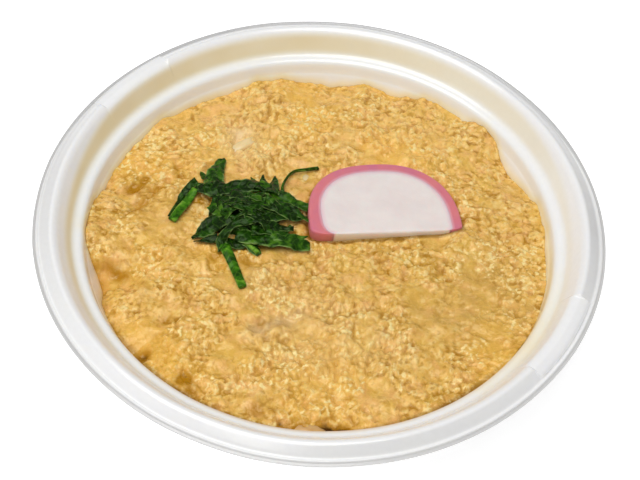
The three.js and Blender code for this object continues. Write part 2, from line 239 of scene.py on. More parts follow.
# Smooth noise from -1 to 1: random slopes at the corners of a square lattice, each weighted
# by an eased fall to its neighbours.
def smoothNoise(x, y, size, seed):
    cells = 256
    turns = np.random.default_rng(seed).uniform(0, 2 * math.pi, (cells, cells))
    u, v = x / size, y / size
    i, j = np.floor(u).astype(int), np.floor(v).astype(int)
    total = 0
    for di in (0, 1):
        for dj in (0, 1):
            turn = turns[(i + di) % cells, (j + dj) % cells]
            awayU, awayV = u - i - di, v - j - dj
            weight = ease(1 - abs(awayU)) * ease(1 - abs(awayV))
            total = total + weight * (np.cos(turn) * awayU + np.sin(turn) * awayV)
    return total * 1.5


# Flakes side by side: one in each square cell, a low elliptic dome with its own place, size,
# height and tilt, and a heading that drifts slowly over the surface. The height, in cell sizes,
# is the cube root of the sum of the domes' cubes, and the shade is the highest flake's own.
def flakeRelief(x, y, size, flowSize, seed):
    cells = 128
    random = np.random.default_rng(seed)
    low = [0.1, 0.1, -1.6, 0.6, 0.4, 0, -0.4, -0.4]  # place, heading, half axes, lift, tilt
    high = [0.9, 0.9, 1.6, 0.95, 0.65, 0.35, 0.4, 0.4]
    table = random.uniform(low, high, (cells, cells, 8))
    shades = random.uniform(0, 1, (cells, cells))
    u, v = x / size, y / size
    i, j = np.floor(u).astype(int), np.floor(v).astype(int)
    best, shade, total = np.zeros_like(u), np.zeros_like(u), np.zeros_like(u)
    for di in (-1, 0, 1):
        for dj in (-1, 0, 1):
            cell = table[(i + di) % cells, (j + dj) % cells]
            placeX, placeY, heading, long, short, lift, tiltX, tiltY = np.moveaxis(cell, -1, 0)
            awayX, awayY = u - i - di - placeX, v - j - dj - placeY
            heading = heading + 3 * smoothNoise((i + di) * size, (j + dj) * size, flowSize, 33)
            along = awayX * np.cos(heading) + awayY * np.sin(heading)
            across = awayY * np.cos(heading) - awayX * np.sin(heading)
            inside = np.clip(1 - (along / long) ** 2 - (across / short) ** 2, 0, 1)
            dome = ease(inside) * np.maximum(0.3 + lift + tiltX * awayX + tiltY * awayY, 0)
            total = total + dome ** 3
            shade = np.where(dome > best, shades[(i + di) % cells, (j + dj) % cells], shade)
            best = np.maximum(best, dome)
    return total ** (1 / 3), shade


# Points along a Bezier curve of degree three, in the plane.
def bezierLine(a, b, c, d, count):
    t = np.linspace(0, 1, count)[:, None]
    a, b, c, d = (np.asarray(p, float) for p in (a, b, c, d))
    return (1 - t) ** 3 * a + 3 * (1 - t) ** 2 * t * b + 3 * (1 - t) * t * t * c + t ** 3 * d


# Rounds a line's corners: each corner gives way to points a quarter and three quarters along.
def roundLine(line, times):
    for _ in range(times):
        a, b = line[:-1], line[1:]
        cut = np.stack([0.75 * a + 0.25 * b, 0.25 * a + 0.75 * b], 1).reshape(-1, line.shape[1])
        line = np.concatenate([line[:1], cut, line[-1:]])
    return line


# The bowl: a section carried round the axis. On the two pads the rim's crest is flat.
bowlShape = {
    "floor": (40, 3.2), "floorReach": 22, "crease": (77.8, 48.5), "creaseRun": (4, 10.9),
    "thickness": 2, "wallPoints": 36, "evenTurns": 270, "padEndWidth": 0.55, "padEndTurns": 9,
    "ledge": [(78.1, 49.1), (78.4, 50.4), (78.7, 51.9), (79.1, 53.2), (80, 54), (81.6, 54.4),
              (82.6, 55.1), (83.5, 56.5)],
    "crest": [(85.9, 60.2), (87, 61.7), (88.4, 62.64), (89.4, 62.4), (90.2, 61.9), (92, 60.7)],
    "flat": [(85.6, 60.2), (86.6, 61.5), (88.4, 61.9), (90.4, 61.9), (92, 61.8), (92.7, 60.9)],
    "edge": [(92.6, 60.2), (93, 60.05), (93.4, 60.3), (93.8, 60.3), (94.05, 59.8), (94.35, 59.6),
             (94.99, 59.5), (94.99, 59), (94.6, 58.4)],
    "underside": [(92.3, 59), (90, 60.2), (88.4, 59.3), (84.9, 54.5), (81.8, 51.7)],
    "foot": [(51, 1.5), (49, 0), (42, 0), (40.8, 1)], "recess": 1,
    "pads": [(320.5, 342.1), (132.6, 152.9)],
    "wave": 0.16, "waveTurns": [(3, 0.7), (5, 2.1), (8, 4.4), (13, 1.3)], "waveFrom": 30,
}


# The inner wall's line, from the floor to the crease under the ledge: a Bezier curve that
# leaves the floor level and reaches the crease at its run.
def innerWall(count):
    bowl = bowlShape
    floor, crease = bowl["floor"], bowl["crease"]
    near = (floor[0] + bowl["floorReach"], floor[1])
    under = (crease[0] - bowl["creaseRun"][0], crease[1] - bowl["creaseRun"][1])
    return bezierLine(floor, near, under, crease, count)


# Radius of the inner wall at a height, straight between many points of its line.
def wallRadius(z):
    line = np.concatenate([innerWall(200), [bowlShape["ledge"][0]]])
    return np.interp(z, line[:, 1], line[:, 0])


# The section from the floor over the rim to the base, as radius and height. The outer wall
# is the inner one moved out along its normal by the thickness.
def bowlSection(top):
    bowl = bowlShape
    inner = innerWall(bowl["wallPoints"])
    slope = np.gradient(inner, axis=0)
    normal = np.stack([slope[:, 1], -slope[:, 0]], 1)
    outer = inner + bowl["thickness"] * normal / np.linalg.norm(normal, axis=1)[:, None]
    outer = outer[outer[:, 0] > 56][::-1]
    rim = np.array([inner[-1], *bowl["ledge"], *top, *bowl["edge"], *bowl["underside"], outer[0]])
    foot = np.array([outer[-1], *bowl["foot"]])
    return np.concatenate([inner[:-1], roundLine(rim, 3), outer[1:-1], roundLine(foot, 2)])


# Where the foam is tinted, with painted bounce light and painted shade among the tints. Bands
# are heights on the inside, and a turn is where round the bowl the tint is strongest. Bells have
# a middle and a half width, and the gaps in the flange's painted grey shade have a depth too.
foamTint = {
    "filmHeight": 2.2, "filmTurn": 335.2, "filmExtra": 1.5,
    "bounceBand": (53.4, 59.2), "bounceRise": 3, "bounceTurn": 133,
    "ledgeShadeRadius": (79.7, 0.95), "ledgeShadeTurn": (272.2, 43),
    "bounceCutBand": (46, 55), "bounceCutTurn": 108.4,
    "rimShadeRadius": (88.8, 89.6, 92, 92.4, 92.9, 95), "rimShadeShare": (0, 0.55, 0.65, 0.55, 0.1, 0.1),
    "rimShadeAbove": 58, "rimShadeGaps": [(229.2, 25.8, 0.6), (329.5, 25.8, 0.45)], "padGap": 0.4,
    "edgeFrom": 92.4, "edgeTurn": 355.2, "edgeShare": 0.5,
    "lineRadius": (93.5, 94.1, 95), "lineShare": (0, 1, 1), "lineTurn": 335.2, "lineAbove": 56,
    "slopeFrom": 90.6, "slopeShare": 0.42, "slopeTurn": (169, 34.4),
}


# How much one turn faces another: the cosine of the turn between them, or 0 past a quarter.
def facing(turns, turn):
    return np.maximum(np.cos(np.radians(turns - turn)), 0)


# The foam's tints, each from 0 to 1 on the section's points at each turn. The sauce's film is
# full below the sauce's edge and a bell above it. The sauce's painted bounce light and the cool
# tint that takes part of it back are bands of height inside, and the painted shade on the ledge
# is a bell of radius and of turn. The rim's painted grey shade is the most of the flange's, the
# outermost line's and the left slope's, each by radius.
def foamTints(radius, height, turns, inside, onPad):
    tint = foamTint
    angle = np.radians(turns)
    far = ease(1.5 * np.sin(angle))
    above = height - edgeHeight(turns)
    filmHeight = 1 + tint["filmExtra"] * facing(turns, tint["filmTurn"]) ** 6
    film = np.where(above > 0, bell(above, tint["filmHeight"] * filmHeight), 1) * inside
    # Painted bounce light: the sauce's warm glow on the upper inner wall, higher on the far side.
    low, high = tint["bounceBand"]
    high = high + tint["bounceRise"] * ease(1.6 * np.sin(angle))
    sauceBounce = ease((height - low) / 3.2) * ease((high - height) / 3) * inside
    sauceBounce = sauceBounce * (0.55 + 0.45 * np.cos(angle - math.radians(tint["bounceTurn"])))
    # Painted shade on the near side's ledge: a bell of radius and of turn.
    ledgeShade = bell(radius - tint["ledgeShadeRadius"][0], tint["ledgeShadeRadius"][1]) * inside
    ledgeShade = ledgeShade * bell(turns - tint["ledgeShadeTurn"][0], tint["ledgeShadeTurn"][1])
    # A painted cool tint that takes back part of the sauce's bounce light on the inner wall.
    low, high = tint["bounceCutBand"]
    bounceCut = ease((height - low) / 3) * ease((high - height) / 1.5) * inside
    bounceCut = bounceCut * np.clip(0.6 + 0.79 * np.cos(angle - math.radians(tint["bounceCutTurn"])), 0, 1)
    # Painted grey shade on the rim's flange and edge, changing round the bowl with the light.
    rimShade = np.interp(radius, tint["rimShadeRadius"], tint["rimShadeShare"])
    edge = ease((radius - tint["edgeFrom"]) / 0.5) * facing(turns, tint["edgeTurn"]) ** 8
    rimShade = np.maximum(rimShade, tint["edgeShare"] * edge) * (height > tint["rimShadeAbove"])
    rimShade = rimShade * (0.72 + 0.08 * np.cos(angle)) * (1 - facing(turns, 90))
    rimShade = rimShade * (1 - tint["padGap"] * onPad)
    for turn, halfWidth, depth in tint["rimShadeGaps"]:
        rimShade = rimShade * (1 - depth * bell(turns - turn, halfWidth))
    # The outermost line and the left slope are painted grey shade too.
    line = np.interp(radius + 1.1 * far, tint["lineRadius"], tint["lineShare"])
    line = line * (0.88 - 0.12 * np.cos(angle - math.radians(tint["lineTurn"])))
    slope = tint["slopeShare"] * ease((radius - tint["slopeFrom"]) / 1.2)
    slope = slope * bell(turns - tint["slopeTurn"][0], tint["slopeTurn"][1])
    rim = np.maximum(line, slope) * (height > tint["lineAbove"])
    return {"film": film, "sauceBounce": sauceBounce, "ledgeShade": ledgeShade, "bounceCut": bounceCut,
            "rimShade": np.maximum(rimShade, rim)}


# The bowl's skin: the plain section carried round, which gives way to the flat one on the
# pads, with turns close together at their ends. Slow sines round the axis move the upper
# half up, down and in.
def makeBowl(material):
    bowl = bowlShape
    ends = np.array(bowl["pads"]).ravel()
    near = np.linspace(-0.6, 0.6, bowl["padEndTurns"]) * bowl["padEndWidth"]
    even = np.arange(bowl["evenTurns"]) * 360 / bowl["evenTurns"]
    clear = np.min(abs(even[:, None] - ends), axis=1) > bowl["padEndWidth"] * 0.8
    turns = np.sort(np.concatenate([even[clear], (ends[:, None] + near).ravel()]))
    onPad = sum(ease((turns - start) / bowl["padEndWidth"] + 0.5)
                * ease((end - turns) / bowl["padEndWidth"] + 0.5) for start, end in bowl["pads"])
    plain, flat = bowlSection(bowl["crest"]), bowlSection(bowl["flat"])
    section = plain[:, None] * (1 - onPad)[:, None] + flat[:, None] * onPad[:, None]
    angle = np.radians(turns)
    wave = sum(np.sin(k * angle + start) for k, start in bowl["waveTurns"]) * bowl["wave"] / 2
    high = ease((section[:, :, 1] - bowl["waveFrom"]) / 30)
    radius = section[:, :, 0] - abs(wave) * high * 0.5
    height = section[:, :, 1] + (wave - bowl["wave"]) * high * 0.5
    rows = np.stack([radius * np.cos(angle), radius * np.sin(angle), height], -1)
    skin = ringSkin(rows, (0, 0, bowl["floor"][1]), (0, 0, bowl["recess"]))
    inside = (np.arange(len(rows)) < plain[:, 1].argmax())[:, None]
    values = foamTints(section[:, :, 0], height, turns, inside, onPad)
    for name, value in values.items():
        values[name] = np.append(value, [value[0, 0], value[-1, 0]])
    return makePiece("foam_bowl", skin, material, ["bowl"], values)


# Foam: pearly white, with fine cells and broad clouds, and the tints over them: the sauce's
# film, the sauce's painted bounce light, a cool tint that takes part of it back, and painted
# shade on the ledge and the rim. A tint's two shares are for the clouds' dark and bright parts.
foamLook = {
    "cell": colour(249, 249, 248), "main": colour(252, 252, 251), "cloud": colour(248, 247, 250),
    # Cool tint, bounce light and the ledge and rim shades are painted; the film is the sauce's.
    "tints": {"bounceCut": (0.7, 0.7, colour(250, 255, 252)), "sauceBounce": (0.75, 1, colour(233, 219, 180)),
              "film": (0.52, 0.86, colour(252, 226, 172)),
              "ledgeShade": (0.6, 0.6, colour(226, 203, 172)), "rimShade": (0.8, 0.8, colour(174, 174, 175))},
}


def foamMaterial():
    look = foamLook
    settings = {"Subsurface Weight": 0.5, "Subsurface Scale": 0.003,
                "Subsurface Radius": (1, 0.95, 0.85), "Specular IOR Level": 0.8}
    material, tree, coords, shader = startMaterial("pearly_foam", settings)
    cells = noiseValue(tree, coords, 1.6, 3)
    clouds = noiseValue(tree, coords, 22, 2)
    shade = mixColours(tree, spread(tree, cells, 0.35, 0.65), look["cell"], look["main"])
    shade = mixColours(tree, spread(tree, clouds, 0.3, 0.7, 0, 0.4), shade, look["cloud"])
    for name, (dark, bright, tint) in look["tints"].items():
        share = spread(tree, clouds, 0.3, 0.7, dark, bright)
        share = multiply(tree, meshValue(tree, name), share)
        shade = mixColours(tree, share, shade, tint)
    roughness = spread(tree, cells, 0.3, 0.7, 0.17, 0.25)
    finishMaterial(tree, shader, shade, roughness, [(cells, 0.012), (clouds, 0.12)])
    return material


# The egg sauce. Its edge on the wall has a height every 15 degrees, less notches given as turn,
# half width and depth. Its low mound has lumps and, on top, flakes of egg as size and height.
# Calm spots are bare stretches, as x, y and size. Pits are x, y, half width and depth, and the
# tints' spots x, y, half width and share.
sauceShape = {
    "edgeHeights": [46.6, 48.5, 46, 50.4, 48.5, 45.6, 43.8, 46.8, 45.6, 46.2, 46.6, 46.6,
                    50.6, 46, 45, 46.5, 48, 48.5, 47, 48, 48.5, 49.4, 50.6, 48.4],
    "notches": [(187, 4.5, -2.4), (198, 5, 6.4), (31, 7, 2), (222, 4, 3), (279, 4, 4.5),
                (72, 4, 1.5), (20, 4, 1.2), (41, 3, -1), (51, 4, 1.8), (80, 3, -2),
                (111, 4, -1.4), (141, 4, -1.4)],
    "edgeReach": 76, "edgeRoll": 7, "edgeNoise": [(9, 0.8), (4.2, 0.5), (2.2, 0.15)],
    "moundHeight": 49.2, "moundDrop": 1.4, "lumpHeight": 0.28,
    "lumpLengths": [27, 19, 14.5, 12.5, 10.5, 9, 8, 7.2],
    "groove": 1.1, "bank": 0.75, "creaseDepth": 0.5,
    "sides": 300, "wallReach": 0.25, "wallRows": 6, "rowDrop": 0.8, "floorGap": 0.3,
    "flakes": [(7.5, 0.04), (4.4, 0.12), (2.7, 0.43), (1.7, 0.64)], "flowSize": 14,
    "smoothSize": 15, "smoothFrom": 0.3, "smoothTo": 0.62,
    "calmSpots": [(-52, 1, 11), (-43, -13, 8), (-62, -44, 7), (15, -18.5, 7), (-14, -39, 6),
                  (47, -24, 9), (38, -38, 6), (40, 50, 6), (-10, 26, 6)],
    "pits": [(-65, 15.4, 2, 1), (-62.6, 19.8, 2, 0.9), (-49.7, 22.6, 1.3, 1),
             (-52, 26.4, 1.2, 0.7), (-29, 40.5, 5, 0.6), (6.6, -74, 1.8, 3), (3, -74.4, 1.8, 2.2),
             (12.6, -73, 1.6, 2.6), (-18, -41, 3, 0.3), (-14, -38.8, 3, 0.35),
             (-9.5, -36.4, 3, 0.35), (-15, -70.4, 2.6, 0.6), (-7, -74.4, 2, 1.4),
             (9.8, -73.6, 1.8, 3), (-2, -75, 1.8, 2), (50, 1.5, 5.5, -2.6), (-66, -19.5, 1.8, 1),
             (-70.5, -16.5, 1.4, 0.9), (-53.5, -26, 1.8, 0.8), (-47.3, -38.3, 1.6, 0.7),
             (-17, -37, 1.4, 0.8), (-52.6, -51.5, 1.9, 1.5), (-38.9, -59.5, 2.6, 0.7),
             (-34.3, -66.5, 2, 0.8), (-39.5, 12.5, 2.6, 0.6), (-34, -12, 2, 0.7),
             (-24, -12.5, 2.4, 0.6), (48, 13, 1.2, 0.7), (44, -6, 2, 0.6)],
    "fold": (-60.2, 9, 51, 0.9, 1.4, 8, 10.5),
    "tints": {
        # Soaked and shaded spots: sauce pooled in the hollows, and painted shadow by the stems and the
        # near wall.
        "soakedAndShaded": [(-52.6, -51, 1.8, 0.9), (-39, -59.4, 2.2, 0.9), (-36.4, -65.6, 1.8, 0.8),
                   (-18.9, -70.7, 1.6, 0.8), (-14.7, -69.9, 1.9, 0.9), (-10.3, -69.8, 1.5, 0.7),
                   (-65.4, 14.4, 1.9, 1), (-64.3, 17.3, 1.9, 1), (-62.2, 20.6, 1.8, 1),
                   (-58.5, 15.5, 6.5, 0.42), (-63.5, 9.6, 1.4, 0.6), (-57.4, 26.4, 1.3, 0.8),
                   (-52, 26.4, 1.3, 0.9), (-49.7, 22.6, 1.6, 1), (-64.8, 4.3, 1.5, 0.9),
                   (-62.4, 5.3, 1.4, 0.9), (-60, 7.8, 1.2, 0.8), (-68, 17, 5, 0.3),
                   (-42.4, 10.5, 3, 0.7), (-68.5, -17.5, 2.4, 0.7),
                   (-64, -20.5, 3, 0.7), (-53.4, -51.9, 2.8, 0.6), (-38.6, -62, 3.6, 0.8),
                   (43.1, -62.1, 4, 0.6), (-1.6, -75.2, 4, 0.9), (12.3, -74.7, 4, 0.8),
                   (-33, -12, 3, 0.5), (-24, -13.5, 3, 0.5), (38, -7.7, 4, 0.4), (20, -5, 4, 0.4)],
        "milky": [(-4, -34, 14, 0.2), (4, -50, 10, 0.2), (18, -44, 8, 0.2), (-18, -22, 7, 0.2),
                  (-30, 40, 8, 0.45)],
        "wan": [(-18.4, -41, 2.4, 0.35), (-15, -38.9, 2.4, 0.4), (-11.5, -36.9, 2.2, 0.4),
                (-8, -35.1, 2, 0.35), (-4.4, -33, 2, 0.25), (-31, 43.5, 4.5, 0.5)],
        "dull": [(55, -12, 10, 0.5), (52, -30, 10, 0.5), (67, -25, 7, 0.4), (36, -30, 8, 0.4),
                 (-50, 0, 9, 0.3)],
        # Painted light added on the far part of the sauce.
        "farLight": [(-30, 45, 28, 0.8), (25, 45, 28, 0.8)],
    },
}


# The edge's height at a turn: eased between the listed heights, less bell-shaped notches,
# with finer noise that follows the edge's length.
def edgeHeight(turn):
    sauce = sauceShape
    heights = np.array(sauce["edgeHeights"], float)
    step = 360 / len(heights)
    place = np.mod(turn, 360) / step
    first = np.floor(place).astype(int) % len(heights)
    share = ease(place - np.floor(place))
    z = heights[first] * (1 - share) + heights[(first + 1) % len(heights)] * share
    for centre, halfWidth, depth in sauce["notches"]:
        away = np.mod(turn - centre + 180, 360) - 180
        z = z - depth * bell(away, halfWidth)
    radius = bowlShape["crease"][0]
    x, y = radius * np.cos(np.radians(turn)), radius * np.sin(np.radians(turn))
    for k, (size, height) in enumerate(sauce["edgeNoise"]):
        z = z + height * smoothNoise(x, y, size, 40 + k)
    return z


# How smooth the sauce is at a place, from 0 among curds to 1 on a bare stretch: eased noise of
# two sizes, or the flat-topped bell of a calm spot where that is more.
def smoothness(x, y):
    sauce = sauceShape
    field = 0.5 + smoothNoise(x, y, sauce["smoothSize"], 11) + 0.5 * smoothNoise(x, y, 6, 12)
    calm = ease((field - sauce["smoothFrom"]) / (sauce["smoothTo"] - sauce["smoothFrom"]) - 1)
    for spotX, spotY, size in sauce["calmSpots"]:
        near = np.exp(-(((x - spotX) ** 2 + (y - spotY) ** 2) / size ** 2) ** 2)
        calm = np.maximum(calm, 0.8 * near)
    return calm


# Depth of the pits in the sauce: bells at the listed places, as x, y, half width and depth.
def pitDepth(x, y):
    return sum(depth * np.exp(-((x - pitX) ** 2 + (y - pitY) ** 2) / size ** 2)
               for pitX, pitY, size, depth in sauceShape["pits"])


# Share of a tint: bells at the listed places, as x, y, half width and share, with ragged borders.
def tintShare(x, y, name):
    total = sum(share * np.exp(-((x - spotX) ** 2 + (y - spotY) ** 2) / size ** 2)
                for spotX, spotY, size, share in sauceShape["tints"][name])
    return np.minimum(total * (1 + 0.7 * smoothNoise(x, y, 3, 36)), 1)


# The fold: a step across a line through its middle, which falls off behind it and at its ends.
# Its values are the middle, the line's heading, the step's height and width, how far it falls
# off behind and along the line. The crease in front of the step, a bell, comes with it.
def foldHeight(x, y):
    foldX, foldY, heading, height, width, behind, reach = sauceShape["fold"]
    c, s = math.cos(math.radians(heading)), math.sin(math.radians(heading))
    along = (x - foldX) * c + (y - foldY) * s
    away = (x - foldX) * s - (y - foldY) * c + 0.6 * smoothNoise(x, y, 5, 35) + 0.012 * along ** 2
    ends = np.exp(-((along / reach) ** 4))
    step = height * ease(away / width + 0.5) * bell(np.maximum(away, 0), behind)
    return step * ends, bell(away + 1.2, 0.8) * ends


# Height of the sauce without its fine relief: a mound with eight sine waves, each turned by
# the golden angle, which gives way to the edge's height as a seventh power of the radius.
def moundSurface(x, y):
    sauce = sauceShape
    edge = edgeHeight(np.degrees(np.arctan2(y, x)))
    part = np.minimum(np.hypot(x, y) / (wallRadius(edge) + sauce["wallReach"]), 1)
    roll = part ** sauce["edgeRoll"]
    lumps = 0
    for k, length in enumerate(sauce["lumpLengths"]):
        along = x * math.cos(k * goldenAngle) + y * math.sin(k * goldenAngle)
        lumps = lumps + sauce["lumpHeight"] * np.sin(2 * math.pi * along / length + k * k)
    lumps = lumps * (0.15 + 0.85 * ease((cakeGap(x, y) + 1) / 8))
    mound = sauce["moundHeight"] - sauce["moundDrop"] * part * part + lumps
    return edge * roll + mound * (1 - roll), part


# The fine relief in millimetres and its shade from 0 to 1: layers of flakes of different
# sizes on bent coordinates, low on the smooth stretches.
def fineRelief(x, y):
    total, tone = 0, 0
    for k, (size, height) in enumerate(sauceShape["flakes"]):
        bend = size * 0.4
        bentX = x + bend * smoothNoise(x, y, size * 1.3, 20 + k)
        bentY = y + bend * smoothNoise(x, y, size * 1.3, 30 + k)
        dome, shade = flakeRelief(bentX, bentY, size, sauceShape["flowSize"], 50 + k)
        total = total + height * size * (dome - 0.2)
        tone = tone + shade / len(sauceShape["flakes"])
    rough = 1 - 0.85 * smoothness(x, y)
    return total * rough, 0.5 + (tone - 0.5) * rough


# The sauce's surface: the mound, the fine relief, which fades at the wall and under the slice,
# and the fold, less its crease and the pits. Round the slice a groove is taken off behind and
# beside it, and at its foot the sauce is banked up towards the right.
def sauceHeight(x, y):
    base, part = moundSurface(x, y)
    calm = 1 - 0.6 * part ** 12
    localX, localY = besideCake(x, y)
    above = ease((localY + 3.5) / 3)
    bank = sauceShape["bank"] * (localX / cakeShape["halfWidth"] - 0.3)
    groove = (sauceShape["groove"] * above - bank * (1 - above)) * aroundCake(x, y)
    fine = fineRelief(x, y)[0] * calm * underCake(x, y)
    fold, crease = foldHeight(x, y)
    return base + fine + fold - sauceShape["creaseDepth"] * crease - pitDepth(x, y) - groove


# The slice of fish cake, whose values the sauce needs too. Pairs are for right and left, and
# the squarenesses are the powers of its outline's quarters.
cakeShape = {
    "halfWidth": 26.2, "arch": 26.8, "foot": 5, "thickness": 5, "layer": 3.8, "layerExtra": 0.9,
    "archSquareness": (2.25, 2.6), "footSquareness": (7, 3), "coreSquareness": (14, 4.5),
    "bandEnd": (50, 38), "place": (22.2, 5.9, 49.4), "turn": 10.8, "tilt": 2,
    "steps": 150, "footSteps": 60, "middle": 0.36, "rings": 22, "innerRing": 0.06,
    "edgeTurns": [22, 45, 67, 90], "flatSteps": 7, "roundSteps": 15,
    "frontRound": 0.9, "jointRound": 0.05, "outerRound": 1, "waviness": 0.12,
}


# Matrix from the slice's own frame to the model's: tilted about its Y, then turned.
def cakeMatrix():
    turn, tilt = math.radians(cakeShape["turn"]), math.radians(cakeShape["tilt"])
    return Matrix.Rotation(turn, 3, "Z") @ Matrix.Rotation(tilt, 3, "Y")


# Points in the slice's own frame moved to its place on the sauce.
def placeCake(points):
    return points @ np.array(cakeMatrix()).T + np.array(cakeShape["place"])


# A place on the sauce in the slice's own frame.
def besideCake(x, y):
    place, back = cakeShape["place"], np.array(cakeMatrix())[:2, :2]
    localX = (x - place[0]) * back[0, 0] + (y - place[1]) * back[1, 0]
    localY = (x - place[0]) * back[0, 1] + (y - place[1]) * back[1, 1]
    return localX, localY


# The slice's outline as a superellipse in each quarter: 1 on it, less inside.
def cakeSize(x, y):
    cake = cakeShape
    localX, localY = besideCake(x, y)
    right, above = localX >= 0, localY > 0
    tall = np.where(above, cake["arch"], cake["foot"])
    power = np.where(above, np.where(right, *cake["archSquareness"]),
                     np.where(right, *cake["footSquareness"]))
    wide, high = abs(localX) / cake["halfWidth"], abs(localY) / tall
    return (wide ** power + high ** power) ** (1 / power)


# How far a point is from that outline, less than zero inside: the size's excess over its slope.
def cakeGap(x, y):
    step = 0.2
    slopeX = (cakeSize(x + step, y) - cakeSize(x - step, y)) / (2 * step)
    slopeY = (cakeSize(x, y + step) - cakeSize(x, y - step)) / (2 * step)
    return (cakeSize(x, y) - 1) / np.maximum(np.hypot(slopeX, slopeY), 0.01)


# A point well inside the slice's outline gives 0 and one clear of it gives 1, eased between.
def underCake(x, y):
    return ease((cakeGap(x, y) + 0.8) / 3)


# Nearness to the slice's side: a bell, 1 at its outline and gone a little off it.
def aroundCake(x, y):
    return bell(cakeGap(x, y), 1.2)


# A square grid drawn into the unit disc: each square ring becomes a circle.
def discGrid(count):
    line = np.linspace(-1, 1, count + 1)
    a, b = np.meshgrid(line, line, indexing="ij")
    wide = abs(a) > abs(b)
    size = np.where(wide, a, b)
    ratio = np.divide(np.where(wide, b, a), size, out=np.zeros_like(a), where=size != 0)
    turn = np.where(wide, math.pi / 4 * ratio, math.pi / 2 - math.pi / 4 * ratio)
    return size * np.cos(turn), size * np.sin(turn)


# What the material reads at each point: the fine relief, lower at the near wall, in pits and
# beside the slice, where it carries painted shade, the flakes' tone, the painted contact shadow
# round the slice and along the near wall, how calm the surface is, and the tints. The fold's
# crease counts as soaked and shaded: a painted shadow.
def sauceValues(x, y, part):
    relief, tone = fineRelief(x, y)
    near = -y / sauceShape["edgeReach"]
    # The relief is lowered at the near wall, in the pits and beside the slice for colour only: painted
    # shade.
    relief = relief - 0.5 * part ** 60 * ease(0.4 + 1.2 * near)
    relief = relief - 0.7 * pitDepth(x, y) - 0.3 * aroundCake(x, y)
    # Painted contact shadow along the near wall, under the ledge's overhang.
    wallShadow = 0.9 * ease((part - 0.95) / 0.04) * ease(2 * near - 0.7)
    values = {"relief": relief, "tone": tone, "calm": smoothness(x, y),
              "contactShadow": np.maximum(aroundCake(x, y), wallShadow)}
    for name in sauceShape["tints"]:
        values[name] = tintShare(x, y, name)
    values["soakedAndShaded"] = np.maximum(values["soakedAndShaded"], 0.75 * foldHeight(x, y)[1])
    return values


# The sauce's skin: the disc's grid over its surface, and rows below its edge that go down
# inside the wall to a pole on the floor, in even shares of the way.
def makeSauce(material):
    sauce = sauceShape
    x, y = discGrid(sauce["sides"])
    reach = wallRadius(edgeHeight(np.degrees(np.arctan2(y, x)))) + sauce["wallReach"]
    x, y = x * reach, y * reach
    top = np.stack([x, y, sauceHeight(x, y)], -1).reshape(-1, 3)
    faces, border = gridFaces(*x.shape)
    rim = top[border]
    turn = np.arctan2(rim[:, 1], rim[:, 0])
    floor = bowlShape["floor"][1] + sauce["floorGap"]
    share = np.linspace(0, 1, sauce["wallRows"] + 1)[1:, None]
    height = (rim[:, 2] - sauce["rowDrop"]) * (1 - share) + floor * share
    radius = wallRadius(height) - sauce["floorGap"] * share + sauce["wallReach"] * (1 - share)
    rows = np.stack([radius * np.cos(turn), radius * np.sin(turn), height], -1)
    rings = np.concatenate([border[None], len(top) + np.arange(height.size).reshape(height.shape)])
    after = np.roll(rings, -1, axis=1)
    sides = np.stack([rings[:-1], rings[1:], after[1:], after[:-1]], -1).reshape(-1, 4)
    points = np.concatenate([top, rows.reshape(-1, 3), [(0, 0, floor)]])
    fan = np.stack([np.full(len(border), len(points) - 1), after[-1], rings[-1]], -1)
    skin = points, np.concatenate([faces, sides]), fan
    values = sauceValues(x, y, np.hypot(x, y) / reach)
    for name, value in values.items():
        values[name] = np.append(value, np.zeros(len(points) - len(top)))
    return makePiece("egg_sauce", skin, material, ["egg_ankake"], values)


# Egg in thick sauce: orange-brown in the hollows, partly deeper sauce and partly painted shade,
# and yellow on the tops, with faint olive, pinkish and golden patches. Each flake's own tone and
# noise of its size vary the shade, pale flecks, partly pale curd and partly painted highlight,
# lie on the tops, and the smooth stretches have little of either. Then come the tints: soaked
# brown spots that are partly painted shadow, milky, dull and wan spots, and painted light added
# on the far part. Last come painted shade in the deepest hollows and the painted contact shadow.
eggLook = {
    # The hollow shade is painted shade for the deepest hollows, the pits and the contact shadow.
    "hollowShade": colour(84, 50, 5), "deep": colour(184, 131, 34), "main": colour(237, 190, 98),
    "pale": colour(252, 227, 157), "olive": colour(234, 192, 88), "pinkish": colour(250, 194, 126),
    # The fleck colour is partly pale curd and partly painted highlight.
    "golden": colour(242, 188, 78), "fleckGlint": colour(255, 228, 158),
    # The soaked colour is partly pooled sauce and partly painted shadow.
    "soakedAndShaded": colour(182, 126, 0), "milky": colour(242, 208, 150), "dull": colour(212, 170, 88),
    # The far light is painted light, added to the colour on the far part.
    "wan": colour(234, 206, 160), "farLight": (0.108, 0.08, 0.043, 1),
}


